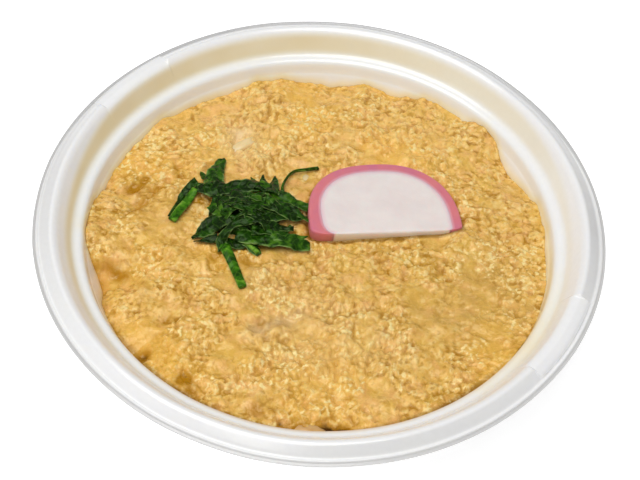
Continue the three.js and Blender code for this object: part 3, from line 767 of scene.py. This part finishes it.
def eggMaterial():
    look = eggLook
    settings = {"Subsurface Weight": 0.35, "Subsurface Scale": 0.0008,
                "Subsurface Radius": (1, 0.75, 0.45), "Specular IOR Level": 0.8, "IOR": 1.4,
                "Specular Tint": (1, 0.89, 0.6, 1)}
    material, tree, coords, shader = startMaterial("thick_egg_sauce", settings)
    wide = noiseValue(tree, coords, 34, 2)
    patch = noiseValue(tree, coords, 9, 2)
    tint = noiseValue(tree, coords, 5, 2)
    flake = noiseValue(tree, coords, 2.6, 3, 0.8)
    grain = noiseValue(tree, coords, 0.8, 2)
    group = noiseValue(tree, coords, 13, 2)
    dim = noiseValue(tree, coords, 1.9, 1)
    tone = combine(tree, "ADD", spread(tree, flake, 0.3, 0.7, -0.5, 0.5),
                   spread(tree, meshValue(tree, "tone"), 0.2, 0.8, -0.4, 0.4))
    shade = mixColours(tree, spread(tree, tone, 0, 0.9), look["main"], look["pale"])
    shade = mixColours(tree, spread(tree, tone, 0, -0.9, 0, 0.5), shade, look["deep"])
    # Darker in the hollows: partly deeper sauce, partly painted shade.
    hollows = spread(tree, meshValue(tree, "relief"), -0.35, 0.1, 1, 0)
    shade = mixColours(tree, hollows, shade, look["deep"])
    shade = mixColours(tree, spread(tree, dim, 0.44, 0.32, 0, 0.6), shade, look["deep"])
    shade = mixColours(tree, spread(tree, patch, 0.5, 0.7, 0, 0.5), shade, look["olive"])
    shade = mixColours(tree, spread(tree, tint, 0.5, 0.7, 0, 0.5), shade, look["pinkish"])
    shade = mixColours(tree, spread(tree, wide, 0.5, 0.65, 0, 0.5), shade, look["golden"])
    for name in ("milky", "dull", "wan"):
        shade = mixColours(tree, meshValue(tree, name), shade, look[name])
    # Painted light added on the far part.
    shade = mixColours(tree, meshValue(tree, "farLight"), shade, look["farLight"], "ADD")
    # Pale flecks on the tops: partly pale curd, partly painted highlight.
    fleckGlints = spread(tree, noiseValue(tree, coords, 1.6, 1), 0.52, 0.63)
    fleckGlints = multiply(tree, fleckGlints, spread(tree, meshValue(tree, "relief"), -0.15, 0.15))
    fleckGlints = multiply(tree, fleckGlints, spread(tree, meshValue(tree, "calm"), 0, 0.7, 1, 0))
    fleckGlints = multiply(tree, fleckGlints, spread(tree, group, 0.38, 0.58))
    shade = mixColours(tree, fleckGlints, shade, look["fleckGlint"])
    # Soaked and shaded spots: pooled sauce and painted shadow.
    shade = mixColours(tree, spread(tree, meshValue(tree, "soakedAndShaded"), 0.1, 0.95, 0, 0.94), shade,
                       look["soakedAndShaded"])
    # Painted shade in the deepest hollows and pits.
    shade = mixColours(tree, spread(tree, meshValue(tree, "relief"), -0.6, -1.4), shade, look["hollowShade"])
    # Painted contact shadow round the slice and along the near wall.
    shade = mixColours(tree, spread(tree, meshValue(tree, "contactShadow"), 0.3, 0.9, 0, 0.6), shade,
                       look["hollowShade"])
    roughness = spread(tree, grain, 0.3, 0.7, 0.12, 0.32)
    flake = multiply(tree, flake, spread(tree, meshValue(tree, "calm"), 0, 0.8, 1, 0.35))
    finishMaterial(tree, shader, shade, roughness, [(flake, 0.62), (grain, 0.14)])
    return material


makeBowl(foamMaterial())
makeSauce(eggMaterial())


# The slice's outline at turns from its right side over the arch: a superellipse, tall above
# the feet and low below them. The inner line is set in by the layer's depth.
def cakeOutline(turn, isInner):
    cake = cakeShape
    c, s = np.cos(turn), np.sin(turn)
    right = c >= 0
    foot = np.where(right, *cake["coreSquareness" if isInner else "footSquareness"])
    power = 2 / np.where(s >= 0, np.where(right, *cake["archSquareness"]), foot)
    side = np.sign(c) * abs(c) ** power
    rise = np.sign(s) * abs(s) ** power
    low = np.maximum(0, 1 - 2 * rise)
    depth = cake["layer"] + np.where(right, 0, cake["layerExtra"] * low)
    inset = depth if isInner else 0
    y = np.where(s >= 0, (cake["arch"] - inset) * rise, cake["foot"] * rise)
    return np.stack([(cake["halfWidth"] - inset) * side, y], -1)


# Turns that are evenly spaced along the outer line, from foot to foot.
def cakeTurns(count):
    right, left = np.radians(cakeShape["bandEnd"])
    turns = np.linspace(-right, math.pi + left, 4001)
    line = cakeOutline(turns, False)
    length = np.concatenate([[0], np.cumsum(np.linalg.norm(np.diff(line, axis=0), axis=1))])
    return np.interp(np.linspace(0, length[-1], count), length, turns)


# The cut faces aren't quite flat: a slow wave over the slice.
def cutWave(points):
    return cakeShape["waviness"] * (smoothNoise(points[..., 0], points[..., 1], 11, 61)
                                    + 0.5 * smoothNoise(points[..., 0], points[..., 1], 4, 62))


# The white core: rings that grow from its middle to its outline, over a rounded edge, down
# its side and back underneath. Its front edge is rounder than its joint with the layer.
def makeCore(material):
    cake = cakeShape
    arch = cakeOutline(cakeTurns(cake["steps"]), True)
    share = np.linspace(0, 1, cake["footSteps"] + 2)[1:-1, None]
    line = np.concatenate([arch, arch[-1] * (1 - share) + arch[0] * share])
    across = np.roll(line, -1, axis=0) - np.roll(line, 1, axis=0)
    inward = np.stack([-across[:, 1], across[:, 0]], 1)
    inward = inward / np.linalg.norm(inward, axis=1)[:, None]
    front = np.concatenate([np.zeros(len(arch)), np.sin(math.pi * share[:, 0]) ** 0.7])
    rounding = cake["jointRound"] + (cake["frontRound"] - cake["jointRound"]) * front
    edge = line + inward * rounding[:, None]
    half = cake["thickness"] / 2
    middle = np.array([0, cake["arch"] * cake["middle"]])
    scales = np.linspace(cake["innerRing"], 1, cake["rings"])
    rows = [(middle + (edge - middle) * scale, np.full(len(line), half)) for scale in scales]
    for turn in np.radians(cake["edgeTurns"]):
        drop = rounding * (1 - math.cos(turn))
        rows.append((edge - inward * (rounding * math.sin(turn))[:, None], half - drop))
    upper = np.array([np.column_stack([flat, z]) for flat, z in rows])
    upper[..., 2] += cutWave(upper)
    lower = upper[::-1].copy()
    lower[..., 2] *= -1
    pole = cutWave(np.array([*middle, half]))
    skin = ringSkin(np.concatenate([upper, lower]), (*middle, half + pole), (*middle, -half - pole))
    ringShare = np.concatenate([scales, np.ones(2 * len(cake["edgeTurns"])), scales[::-1]])
    depth = (1 - ringShare)[:, None] * np.linalg.norm(edge - middle, axis=1)
    depth = depth + np.concatenate([np.zeros(len(arch)), np.full(cake["footSteps"], 9)])
    # Share of the side's colour, down to the foot: partly soaked sauce, partly painted light.
    side = ease((half - 0.7 - skin[0][:-2, 2]) / 2.4)
    values = {"fromJoint": np.append(depth, [9, 9]), "side": np.append(side, [0, 1])}
    placed = placeCake(skin[0]), skin[1], skin[2]
    return makePiece("fish_cake_core", placed, material, ["kamaboko_white"], values)


# The pink layer: a section with a round outer edge carried along the arch. It closes to a
# point at both ends, as a quarter circle does. The row just off its inner edge keeps the
# shading of the cut face clean.
def makeBand(material):
    cake = cakeShape
    turns = cakeTurns(cake["steps"])
    inner, outer = cakeOutline(turns, True), cakeOutline(turns, False)
    width = np.linalg.norm(outer - inner, axis=1)
    outward = (outer - inner) / width[:, None]
    half = cake["thickness"] / 2
    corner = cake["outerRound"]
    arcs = np.radians(np.linspace(90, -90, cake["roundSteps"]))
    out = np.cos(arcs)
    top = np.where(arcs >= 0, half - corner, corner - half) + corner * np.sin(arcs)
    flat = np.concatenate([[0, 0.015], np.linspace(0, 1, cake["flatSteps"])[1:-1]])
    share = np.concatenate([flat, np.ones(len(arcs)), flat[::-1]])
    rounding = np.concatenate([0 * flat, out, 0 * flat])
    height = np.concatenate([np.full(len(flat), half), top, np.full(len(flat), -half)])
    room = np.maximum(width - corner, 0.2)
    reach = share * room[:, None] + rounding * np.minimum(corner, width - 0.2)[:, None]
    centre = inner + outward * (width / 2)[:, None]
    end = np.minimum(np.arange(len(turns)), np.arange(len(turns))[::-1])
    close = np.sqrt(1 - (1 - np.clip((end + 0.6) / 1.6, 0, 1)) ** 2)[:, None]
    reach = (width / 2)[:, None] + (reach - (width / 2)[:, None]) * close
    spot = inner[:, None] + outward[:, None] * reach[:, :, None]
    rows = np.concatenate([spot, (height * np.ones_like(close) * close)[..., None]], -1)
    rows[..., 2] += cutWave(rows) * np.sign(rows[..., 2]) * (abs(rows[..., 2]) / half) ** 6
    first, last = (*centre[0], 0), (*centre[-1], 0)
    skin = ringSkin(rows, first, last)
    # Share of the side's colour, down to the foot: partly soaked sauce, partly painted light.
    side = ease((half - 1 - height) / 2.4) + 0 * reach
    values = {"fromJoint": np.append(reach, [2, 2]), "side": np.append(side, [1, 1])}
    placed = placeCake(skin[0]), skin[1], skin[2]
    return makePiece("fish_cake_layer", placed, material, ["kamaboko_pink"], values)


# Fish cake: smooth and dense, a little translucent, with fine pores and a moist sheen. It
# takes the joint's colour next to the other paste and the outer one down its side: sauce soaked
# into its foot, and painted light that keeps the shaded side pale.
def cakeMaterial(name, main, second, joint, jointWidth, outer):
    settings = {"Subsurface Weight": 0.5, "Subsurface Scale": 0.0022, "IOR": 1.4,
                "Subsurface Radius": (1, 0.6, 0.5), "Coat Weight": 0.1, "Coat Roughness": 0.25}
    material, tree, coords, shader = startMaterial(name, settings)
    cloud = noiseValue(tree, coords, 7, 3)
    pores = noiseValue(tree, coords, 0.9, 2)
    shade = mixColours(tree, spread(tree, cloud, 0.35, 0.65), main, second)
    near = spread(tree, meshValue(tree, "fromJoint"), 0, jointWidth, 1, 0)
    shade = mixColours(tree, near, shade, joint)
    # The side's colour: partly sauce soaked in, partly painted light that lifts the shaded side.
    shade = mixColours(tree, multiply(tree, meshValue(tree, "side"), 0.8), shade, outer)
    roughness = spread(tree, pores, 0.3, 0.7, 0.36, 0.52)
    finishMaterial(tree, shader, shade, roughness, [(pores, 0.05), (cloud, 0.1)])
    return material


# The two pastes: two clouded shades, the joint's colour and how far it reaches, and the side's,
# which is partly sauce soaked in and partly painted light.
cakeLook = {
    "fish_cake_white_paste": (colour(243, 233, 228), colour(238, 226, 222),
                              colour(248, 208, 214), 1.7, colour(248, 214, 152)),
    "fish_cake_pink_paste": (colour(226, 130, 136), colour(214, 122, 146),
                             colour(240, 178, 188), 1.1, colour(216, 130, 118)),
}
whitePaste, pinkPaste = (cakeMaterial(name, *shades) for name, shades in cakeLook.items())
makeCore(whitePaste)
makeBand(pinkPaste)

# Udon noodles that break the surface: each has a middle, a heading, a length and a bend.
noodleShape = {
    "half": 1.95, "squareness": 3, "sides": 24, "steps": 36, "dive": 2.6, "swell": 0.04,
    "noodles": {"udon_noodle_front": (0, -74.2, 44.7, 3, 13, 12),
                "udon_noodle_near": (-13.6, -39.8, 46.9, 26, 24, -25),
                "udon_noodle_far": (-29, 40.4, 46.9, 40, 17, 20),
                "udon_noodle_middle": (-6.6, 25.6, 46.4, 60, 13, 12)},
    "boiled": (colour(238, 208, 146), colour(246, 222, 172)),
    # The front noodle's darker shades: sauce on it, and painted shade of the gap at the front wall.
    "soakedAndShaded": (colour(206, 160, 98), colour(220, 180, 122)),
}


# A noodle: a rounded square carried along an arc whose ends dive into the sauce, with the
# square of the way from its middle.
def makeNoodle(name, material):
    look = noodleShape
    x, y, z, heading, length, bend = look["noodles"][name]
    radius = length / math.radians(bend)
    share = np.linspace(-0.5, 0.5, look["steps"] + 1)[:, None]
    mid = math.radians(heading)
    turn = mid + length / radius * share
    around = np.linspace(0, 2 * math.pi, look["sides"], endpoint=False)
    power = look["squareness"]
    reach = look["half"] / (abs(np.cos(around)) ** power + abs(np.sin(around)) ** power) ** (1 / power)
    swell = 1 + look["swell"] * np.sin(9 * share + x)
    out, up = reach * np.cos(around) * swell, reach * np.sin(around) * swell
    centreX = x + radius * (np.sin(turn) - math.sin(mid))
    centreY = y - radius * (np.cos(turn) - math.cos(mid))
    centreZ = z - look["dive"] * (2 * share) ** 2
    rows = np.stack([centreX - out * np.sin(turn), centreY + out * np.cos(turn), centreZ + up], -1)
    skin = ringSkin(rows, rows[0].mean(0), rows[-1].mean(0))
    return makePiece(name + "_soft", skin, material, [name])


# Boiled noodle: pale, translucent and wet, clouded between two shades.
def noodleMaterial(name, first, second):
    settings = {"Subsurface Weight": 0.5, "Subsurface Scale": 0.002, "IOR": 1.4,
                "Subsurface Radius": (1, 0.8, 0.5), "Coat Weight": 0.3, "Coat Roughness": 0.15}
    material, tree, coords, shader = startMaterial(name, settings)
    cloud = noiseValue(tree, coords, 4, 2)
    shade = mixColours(tree, spread(tree, cloud, 0.3, 0.7), first, second)
    roughness = spread(tree, cloud, 0.3, 0.7, 0.25, 0.4)
    finishMaterial(tree, shader, shade, roughness, [(cloud, 0.12)])
    return material


boiled = noodleMaterial("boiled_noodle", *noodleShape["boiled"])
# The front noodle's darker material holds painted shade as well as sauce.
soakedAndShaded = noodleMaterial("soaked_shaded_noodle", *noodleShape["soakedAndShaded"])
for noodleName in noodleShape["noodles"]:
    makeNoodle(noodleName, soakedAndShaded if noodleName == "udon_noodle_front" else boiled)

# The heap of greens. Of the loose shreds, pairs are the least and the most, but for the
# heading, which is a mean and a spread.
greensShape = {
    "heap": (-26, 5.5), "heapHalf": (12.2, 8.8), "heapHeight": 4.6, "heapDepth": 3,
    "leaf": {"thickness": 0.5, "crown": 0.4, "wave": 0.4, "top": 0.9, "columns": 13},
    "stem": {"thickness": 1.4, "crown": 0.5, "wave": 0, "top": 1.3, "columns": 9},
    "step": 0.42, "waveLength": 9.6, "folds": 0.6, "crumples": 0.3, "ragged": 0.16,
    "loose": {"count": 34, "length": (5, 11), "width": (1, 2.6), "heading": (-15, 45),
              "bend": (-0.22, 0.22), "seed": 141},
}

# Leaves and stems, each as a path of x, y and height over the sauce, with its widths along it.
leafPaths = [
    ([(-36.2, 30.5, 0.6), (-37.2, 25.5, 1.2), (-37.9, 20.4, 2), (-37.8, 15.6, 2.6)], [3.4, 4.8, 7, 7]),
    ([(-43.1, 23.7, 0.6), (-41.1, 21.8, 1.4), (-38.3, 19.8, 2.2)], [0.5, 3, 4]),
    ([(-51.4, 2.3, 0.3), (-49, 9.8, 0.7), (-46.5, 15.2, 1.3), (-43.2, 17.6, 2)], [1, 2, 2.8, 3.4]),
    ([(-43.6, 15.2, 1.6), (-37.7, 14.5, 3), (-31.4, 14.7, 3.6), (-23.5, 16, 3.6), (-17.7, 15.9, 2.6)],
     [4.6, 6.4, 6.4, 5.6, 3]),
    ([(-21, 23.4, 1), (-21.1, 19.4, 2.2), (-21.5, 13.1, 4)], [0.5, 3.2, 5]),
    ([(-16.9, 23.3, 1), (-17, 19.1, 2), (-17.4, 12.8, 4)], [0.6, 3.4, 5]),
    ([(-25.1, 22, 1), (-23.6, 18.4, 2.2), (-22.1, 13.1, 4)], [0.5, 2.6, 4]),
    ([(-22.4, 17.2, 3.6), (-14, 13.2, 3), (-4.5, 10.5, 1.2)], [4.4, 5, 3.4]),
    ([(-19.5, 9.4, 5), (-10.7, 7, 3.6), (-2.3, 3.7, 1)], [4.6, 4.4, 0.5]),
    ([(-17, 7, 4.6), (-10, 4.8, 3.2), (-4.8, 5.3, 1.4)], [4.4, 3.6, 1.4]),
    ([(-23.3, 1.7, 5), (-16.6, 2.2, 4.2), (-11, 4.2, 2.4)], [4.4, 4, 1.2]),
    ([(-20.8, -1.4, 4.6), (-15.2, -1, 3.8), (-9, -0.4, 2)], [4, 4, 1.8]),
    ([(-28, -5.6, 3.6), (-20.4, -6.2, 3.4), (-12.5, -6.5, 2.4), (-3.2, -6.1, 0.8)], [4.6, 6, 5.6, 4]),
    ([(-18.3, -4.7, 3.6), (-11.5, -4.9, 2.8), (-4.3, -2.8, 1)], [3.4, 4, 0.6]),
    ([(-22.9, -3.6, 4.4), (-15.6, -3.2, 3.8), (-9.4, -2.6, 2)], [3.6, 3.6, 1.6]),
    ([(-42.6, -6, 0.4), (-39.5, -3.7, 1.4), (-35.6, -0.3, 3), (-30.1, 1.9, 4.4)], [0.7, 4.6, 7, 7]),
    ([(-41.6, -7.4, 0.4), (-37.7, -7.2, 1), (-33.8, -6.2, 2)], [0.5, 2.4, 3.2]),
    ([(-31.6, -10.3, 1), (-32.5, -8.2, 2.4), (-31.5, -5.7, 3.8), (-28.6, -2.6, 4.8), (-24.8, -1.2, 5.2),
      (-20.3, -1.2, 4.8), (-18.1, -2.9, 3.6)], [3.8, 3.6, 3.2, 3, 2.8, 2.4, 1.6]),
    ([(-24.8, -6.9, 1.6), (-21.8, -8.9, 0.8), (-19.6, -10.9, 0.3)], [3, 3.6, 1.8]),
    ([(-37.5, 7.6, 2.6), (-34.5, 5.3, 3), (-29.2, 3.9, 4.4)], [4.4, 5.4, 4]),
    ([(-37.2, 9.6, 3), (-29, 7.7, 5.2), (-19.2, 6.3, 5.2)], [4.4, 6, 5]),
    ([(-31.1, 12.1, 4.2), (-26, 6.1, 5.6), (-21.2, 2.6, 5)], [4.4, 5.6, 4.4]),
    ([(-35.9, 3.3, 2.6), (-30.5, 5.6, 4.8), (-23.9, 7.8, 5.6)], [4.6, 5, 4]),
    ([(-32.4, -6.4, 2), (-27.6, -7.6, 1.4), (-23, -6.6, 1.6)], [3, 4, 3]),
]
stemPaths = [
    ([(-50, 0.2, 0.2), (-48.2, 4.6, 0.4), (-45.9, 9.7, 0.9), (-43.5, 14.4, 1.6)], [3, 3.1, 3.1, 2.6]),
    ([(-25.8, -6.4, 2), (-22.4, -8.6, 0.9), (-20.2, -10.4, 0.4)], [1.6, 2, 1.6]),
    ([(-32.1, -7.8, 1.6), (-29.9, -12, 0.8), (-27, -17.6, 0.4), (-23.7, -25.8, 0.2)],
     [4.2, 3.6, 3.2, 2.8]),
    ([(-13.4, 14.1, 2.4), (-14, 18.1, 1), (-13.3, 21.9, 0.6), (-12, 24.7, 0.5), (-9.9, 27.3, 0.5),
      (-6.3, 28.8, 0.6), (-1.8, 28.3, 0.8)], [1.4, 1, 0.85, 0.8, 0.8, 0.85, 1]),
    ([(-13.3, -3.7, 2.6), (-11.5, -1.4, 2.6), (-9.4, 0.8, 2)], [1.6, 2.2, 1.4]),
]


# A smooth line through points: on each stretch a cubic whose slopes follow the neighbours.
def smoothPath(points, count):
    points = np.asarray(points, float)
    ends = np.concatenate([[2 * points[0] - points[1]], points, [2 * points[-1] - points[-2]]])
    place = np.linspace(0, len(points) - 1, count)
    k = np.minimum(np.floor(place).astype(int), len(points) - 2)
    t = (place - k)[:, None]
    a, b, c, d = ends[k], ends[k + 1], ends[k + 2], ends[k + 3]
    return 0.5 * (2 * b + (c - a) * t + (2 * a - 5 * b + 4 * c - d) * t * t
                  + (3 * b - a - 3 * c + d) * t ** 3)


# A leaf or stem: points across a smooth line over the sauce. Its middle stands up by a crown,
# one less the square of the way to the border, its borders wave as a sine along it, noise
# folds and crumples it and makes its borders ragged, and it thins with that way's fourth power.
def makeShred(path, widths, look, seed):
    flat = np.array(path, float)
    flat[:, 2] += moundSurface(flat[:, 0], flat[:, 1])[0]
    length = np.linalg.norm(np.diff(flat, axis=0), axis=1).sum()
    count = max(12, int(length / greensShape["step"]))
    line = smoothPath(flat, count)
    along = np.gradient(line, axis=0)
    along = along / np.linalg.norm(along, axis=1)[:, None]
    across = np.stack([-along[:, 1], along[:, 0], np.zeros(count)], 1)
    across = across / np.linalg.norm(across, axis=1)[:, None]
    normal = np.cross(along, across)
    t = np.linspace(0, 1, count)
    half = np.interp(t * (len(widths) - 1), np.arange(len(widths)), widths) / 2
    side = np.linspace(-1, 1, look["columns"])[None, :]
    run = (t * length)[:, None]
    wave = np.sin(2 * math.pi * run / greensShape["waveLength"] + seed)
    rise = look["crown"] * (1 - side ** 2) + look["wave"] * side * wave
    leafy = 1 if look["wave"] else 0.15
    fold = smoothNoise(run * 0.35 + 0 * side, side * half[:, None] + 0 * run, 1.5, 70 + seed)
    crumple = smoothNoise(run + 0 * side, side * half[:, None] + 0 * run, 2.2, 90 + seed)
    rise = rise + leafy * (greensShape["folds"] * fold + greensShape["crumples"] * crumple)
    ragged = smoothNoise(run + 7 * np.sign(side), 3 * np.sign(side) + 0 * run, 1.6, 110 + seed)
    reach = side * half[:, None] * (1 + leafy * greensShape["ragged"] * ragged)
    middle = line[:, None] + across[:, None] * reach[..., None] + normal[:, None] * rise[..., None]
    thick = look["thickness"] * (1 - 0.75 * side ** 4) * np.ones_like(run)
    up = normal[:, None] * np.ones_like(reach)[..., None]
    upper = middle + up * look["top"]
    lower = upper - up * thick[..., None]
    tone = math.sin(7.3 * seed + 1) + 0 * side + 0 * run
    values = np.stack([run + 0 * side, side + 0 * run, tone], -1)
    return sheetSkin(upper, lower), np.concatenate([values.reshape(-1, 3)] * 2)


# Short loose shreds on top of the heap: each a bent line of three points over the dome, with
# its own place, heading, length, width and bend.
def loosePaths():
    look, loose = greensShape, greensShape["loose"]
    random = np.random.default_rng(loose["seed"])
    found = []
    for _ in range(loose["count"]):
        turn, part = random.uniform(0, 2 * math.pi), math.sqrt(random.uniform(0, 0.8))
        middle = np.array([look["heap"][0] + look["heapHalf"][0] * part * math.cos(turn),
                           look["heap"][1] + look["heapHalf"][1] * part * math.sin(turn)])
        heading = math.radians(random.normal(*loose["heading"]))
        along = np.array([math.cos(heading), math.sin(heading)])
        length, bend = random.uniform(*loose["length"]), random.uniform(*loose["bend"])
        side = np.array([-along[1], along[0]]) * bend * length
        width = random.uniform(*loose["width"])
        path = []
        for share, lift in ((-0.5, 0), (0, 0.9), (0.5, 0)):
            x, y = middle + along * share * length + side * (1 - 4 * share * share)
            away = ((x - look["heap"][0]) / (look["heapHalf"][0] * 1.15)) ** 2
            away = away + ((y - look["heap"][1]) / (look["heapHalf"][1] * 1.15)) ** 2
            path.append((x, y, max(0.6, look["heapHeight"] * (1 - away) + 1.1 + lift)))
        found.append((path, [0.3 * width, width, 0.25 * width]))
    return found


# The heap's core: a smooth profile carried round an oval, with noise on its height.
def makeHeapCore():
    look = greensShape
    turn = np.linspace(0, 2 * math.pi, 72, endpoint=False)
    levels = [(0.9, -look["heapDepth"]), (1, 0), (0.97, 0.3 * look["heapHeight"]),
              (0.82, 0.62 * look["heapHeight"]), (0.55, 0.86 * look["heapHeight"]),
              (0.25, look["heapHeight"])]
    line = smoothPath(levels, 26)
    x = look["heap"][0] + look["heapHalf"][0] * line[:, :1] * np.cos(turn)
    y = look["heap"][1] + look["heapHalf"][1] * line[:, :1] * np.sin(turn)
    z = sauceShape["moundHeight"] + line[:, 1:] + 0.7 * smoothNoise(x, y, 2.4, 130)
    rows = np.stack([x, y, z], -1)
    return ringSkin(rows, rows[0].mean(0), rows[-1].mean(0))


# One piece of many shreds, with other skins joined on, whose points count as a shred's middle.
def makeShreds(name, paths, look, others, material, replaced):
    parts = [makeShred(path, widths, look, k) for k, (path, widths) in enumerate(paths)]
    skin = joinSkins(others + [part[0] for part in parts])
    blank = [np.zeros((len(points), 3)) for points, _, _ in others]
    place = np.concatenate(blank + [part[1] for part in parts])
    values = {"run": place[:, 0], "side": place[:, 1], "tone": place[:, 2]}
    makePiece(name, skin, material, replaced, values)


# Cooked greens: dark and wet, with lighter veins that branch from the middle to the borders,
# and painted highlight on the borders in patches.
def greensMaterial(name, dark, main, light, edge, veins):
    settings = {"IOR": 1.36, "Specular IOR Level": 0.3, "Specular Tint": (0.75, 1, 0.55, 1),
                "Coat Weight": 0.05, "Coat Roughness": 0.1}
    material, tree, coords, shader = startMaterial(name, settings)
    side = addNode(tree, "Math", {0: meshValue(tree, "side")}, operation="ABSOLUTE").outputs[0]
    slant = combine(tree, "SUBTRACT", multiply(tree, meshValue(tree, "run"), 2.6),
                    multiply(tree, side, 4.2))
    line = addNode(tree, "Math", {0: slant}, operation="SINE").outputs[0]
    patch = noiseValue(tree, coords, 3.2, 4, 0.8)
    fine = noiseValue(tree, coords, 0.9, 2)
    tone = combine(tree, "ADD", patch, spread(tree, meshValue(tree, "tone"), -1, 1, -0.14, 0.1))
    shade = mixColours(tree, spread(tree, tone, 0.38, 0.6), dark, main)
    shade = mixColours(tree, spread(tree, tone, 0.58, 0.75), shade, light)
    shade = mixColours(tree, spread(tree, line, 0.8, 1, 0, veins), shade, light)
    # Painted highlight along the borders, in patches.
    border = multiply(tree, spread(tree, side, 0.8, 1), spread(tree, patch, 0.4, 0.6))
    shade = mixColours(tree, border, shade, edge)
    roughness = spread(tree, fine, 0.3, 0.7, 0.2, 0.4)
    finishMaterial(tree, shader, shade, roughness, [(line, 0.03), (patch, 0.5), (fine, 0.12)])
    return material


# Leaf and stem: the dark, main and light shades, the borders' painted highlight and the veins' share.
greensLook = {
    "cooked_leaf": (colour(12, 34, 2), colour(32, 72, 8), colour(76, 120, 24),
                    colour(134, 164, 92), 0.25),
    "cooked_stem": (colour(26, 64, 6), colour(66, 124, 14), colour(130, 176, 56),
                    colour(116, 150, 66), 0.2),
}
cookedLeaf, cookedStem = (greensMaterial(name, *shades) for name, shades in greensLook.items())
makeShreds("greens_leaves", leafPaths + loosePaths(), greensShape["leaf"], [makeHeapCore()],
           cookedLeaf, ["greens"])
makeShreds("greens_stems", stemPaths, greensShape["stem"], [], cookedStem, [])

# The studio: a pale floor that glows a little, a pale sky and a soft light. The light's place
# and size are in metres, and its power in watts.
studio = {
    "floor": 3000, "floorShade": colour(252, 252, 252), "glow": 0.42, "sky": 0.28,
    "lights": {"top_soft": ((-0.22, -0.22, 1.08), 0.9, 9.35)},
}


# The floor as a square, the sky and the lights, which point just above the floor's middle.
def makeStudio():
    half = studio["floor"] * mm / 2
    mesh = bpy.data.meshes.new("floor")
    corners = [(-half, -half, 0), (half, -half, 0), (half, half, 0), (-half, half, 0)]
    mesh.from_pydata(corners, [], [(0, 1, 2, 3)])
    settings = {"Roughness": 0.9, "Emission Color": (1, 1, 1, 1), "Emission Strength": studio["glow"]}
    material, tree, coords, shader = startMaterial("studio_floor", settings)
    cloud = noiseValue(tree, coords, 300, 1)
    shade = mixColours(tree, cloud, studio["floorShade"], colour(250, 250, 250))
    tree.links.new(shade, shader.inputs["Base Color"])
    mesh.materials.append(material)
    floor = bpy.data.objects.new("floor", mesh)
    scene.collection.objects.link(floor)
    world = bpy.data.worlds.new("sky")
    world.use_nodes = True
    world.node_tree.nodes["Background"].inputs["Color"].default_value = (1, 1, 1, 1)
    world.node_tree.nodes["Background"].inputs["Strength"].default_value = studio["sky"]
    scene.world = world
    for name, (place, size, power) in studio["lights"].items():
        light = bpy.data.lights.new(name, "AREA")
        light.size = size
        light.energy = power
        lamp = bpy.data.objects.new(name, light)
        aim = Vector((0, 0, 0.05)) - Vector(place)
        lamp.rotation_euler = aim.to_track_quat("-Z", "Y").to_euler()
        lamp.location = place
        scene.collection.objects.link(lamp)


makeStudio()
print("studio made")

bpy.context.view_layer.update()
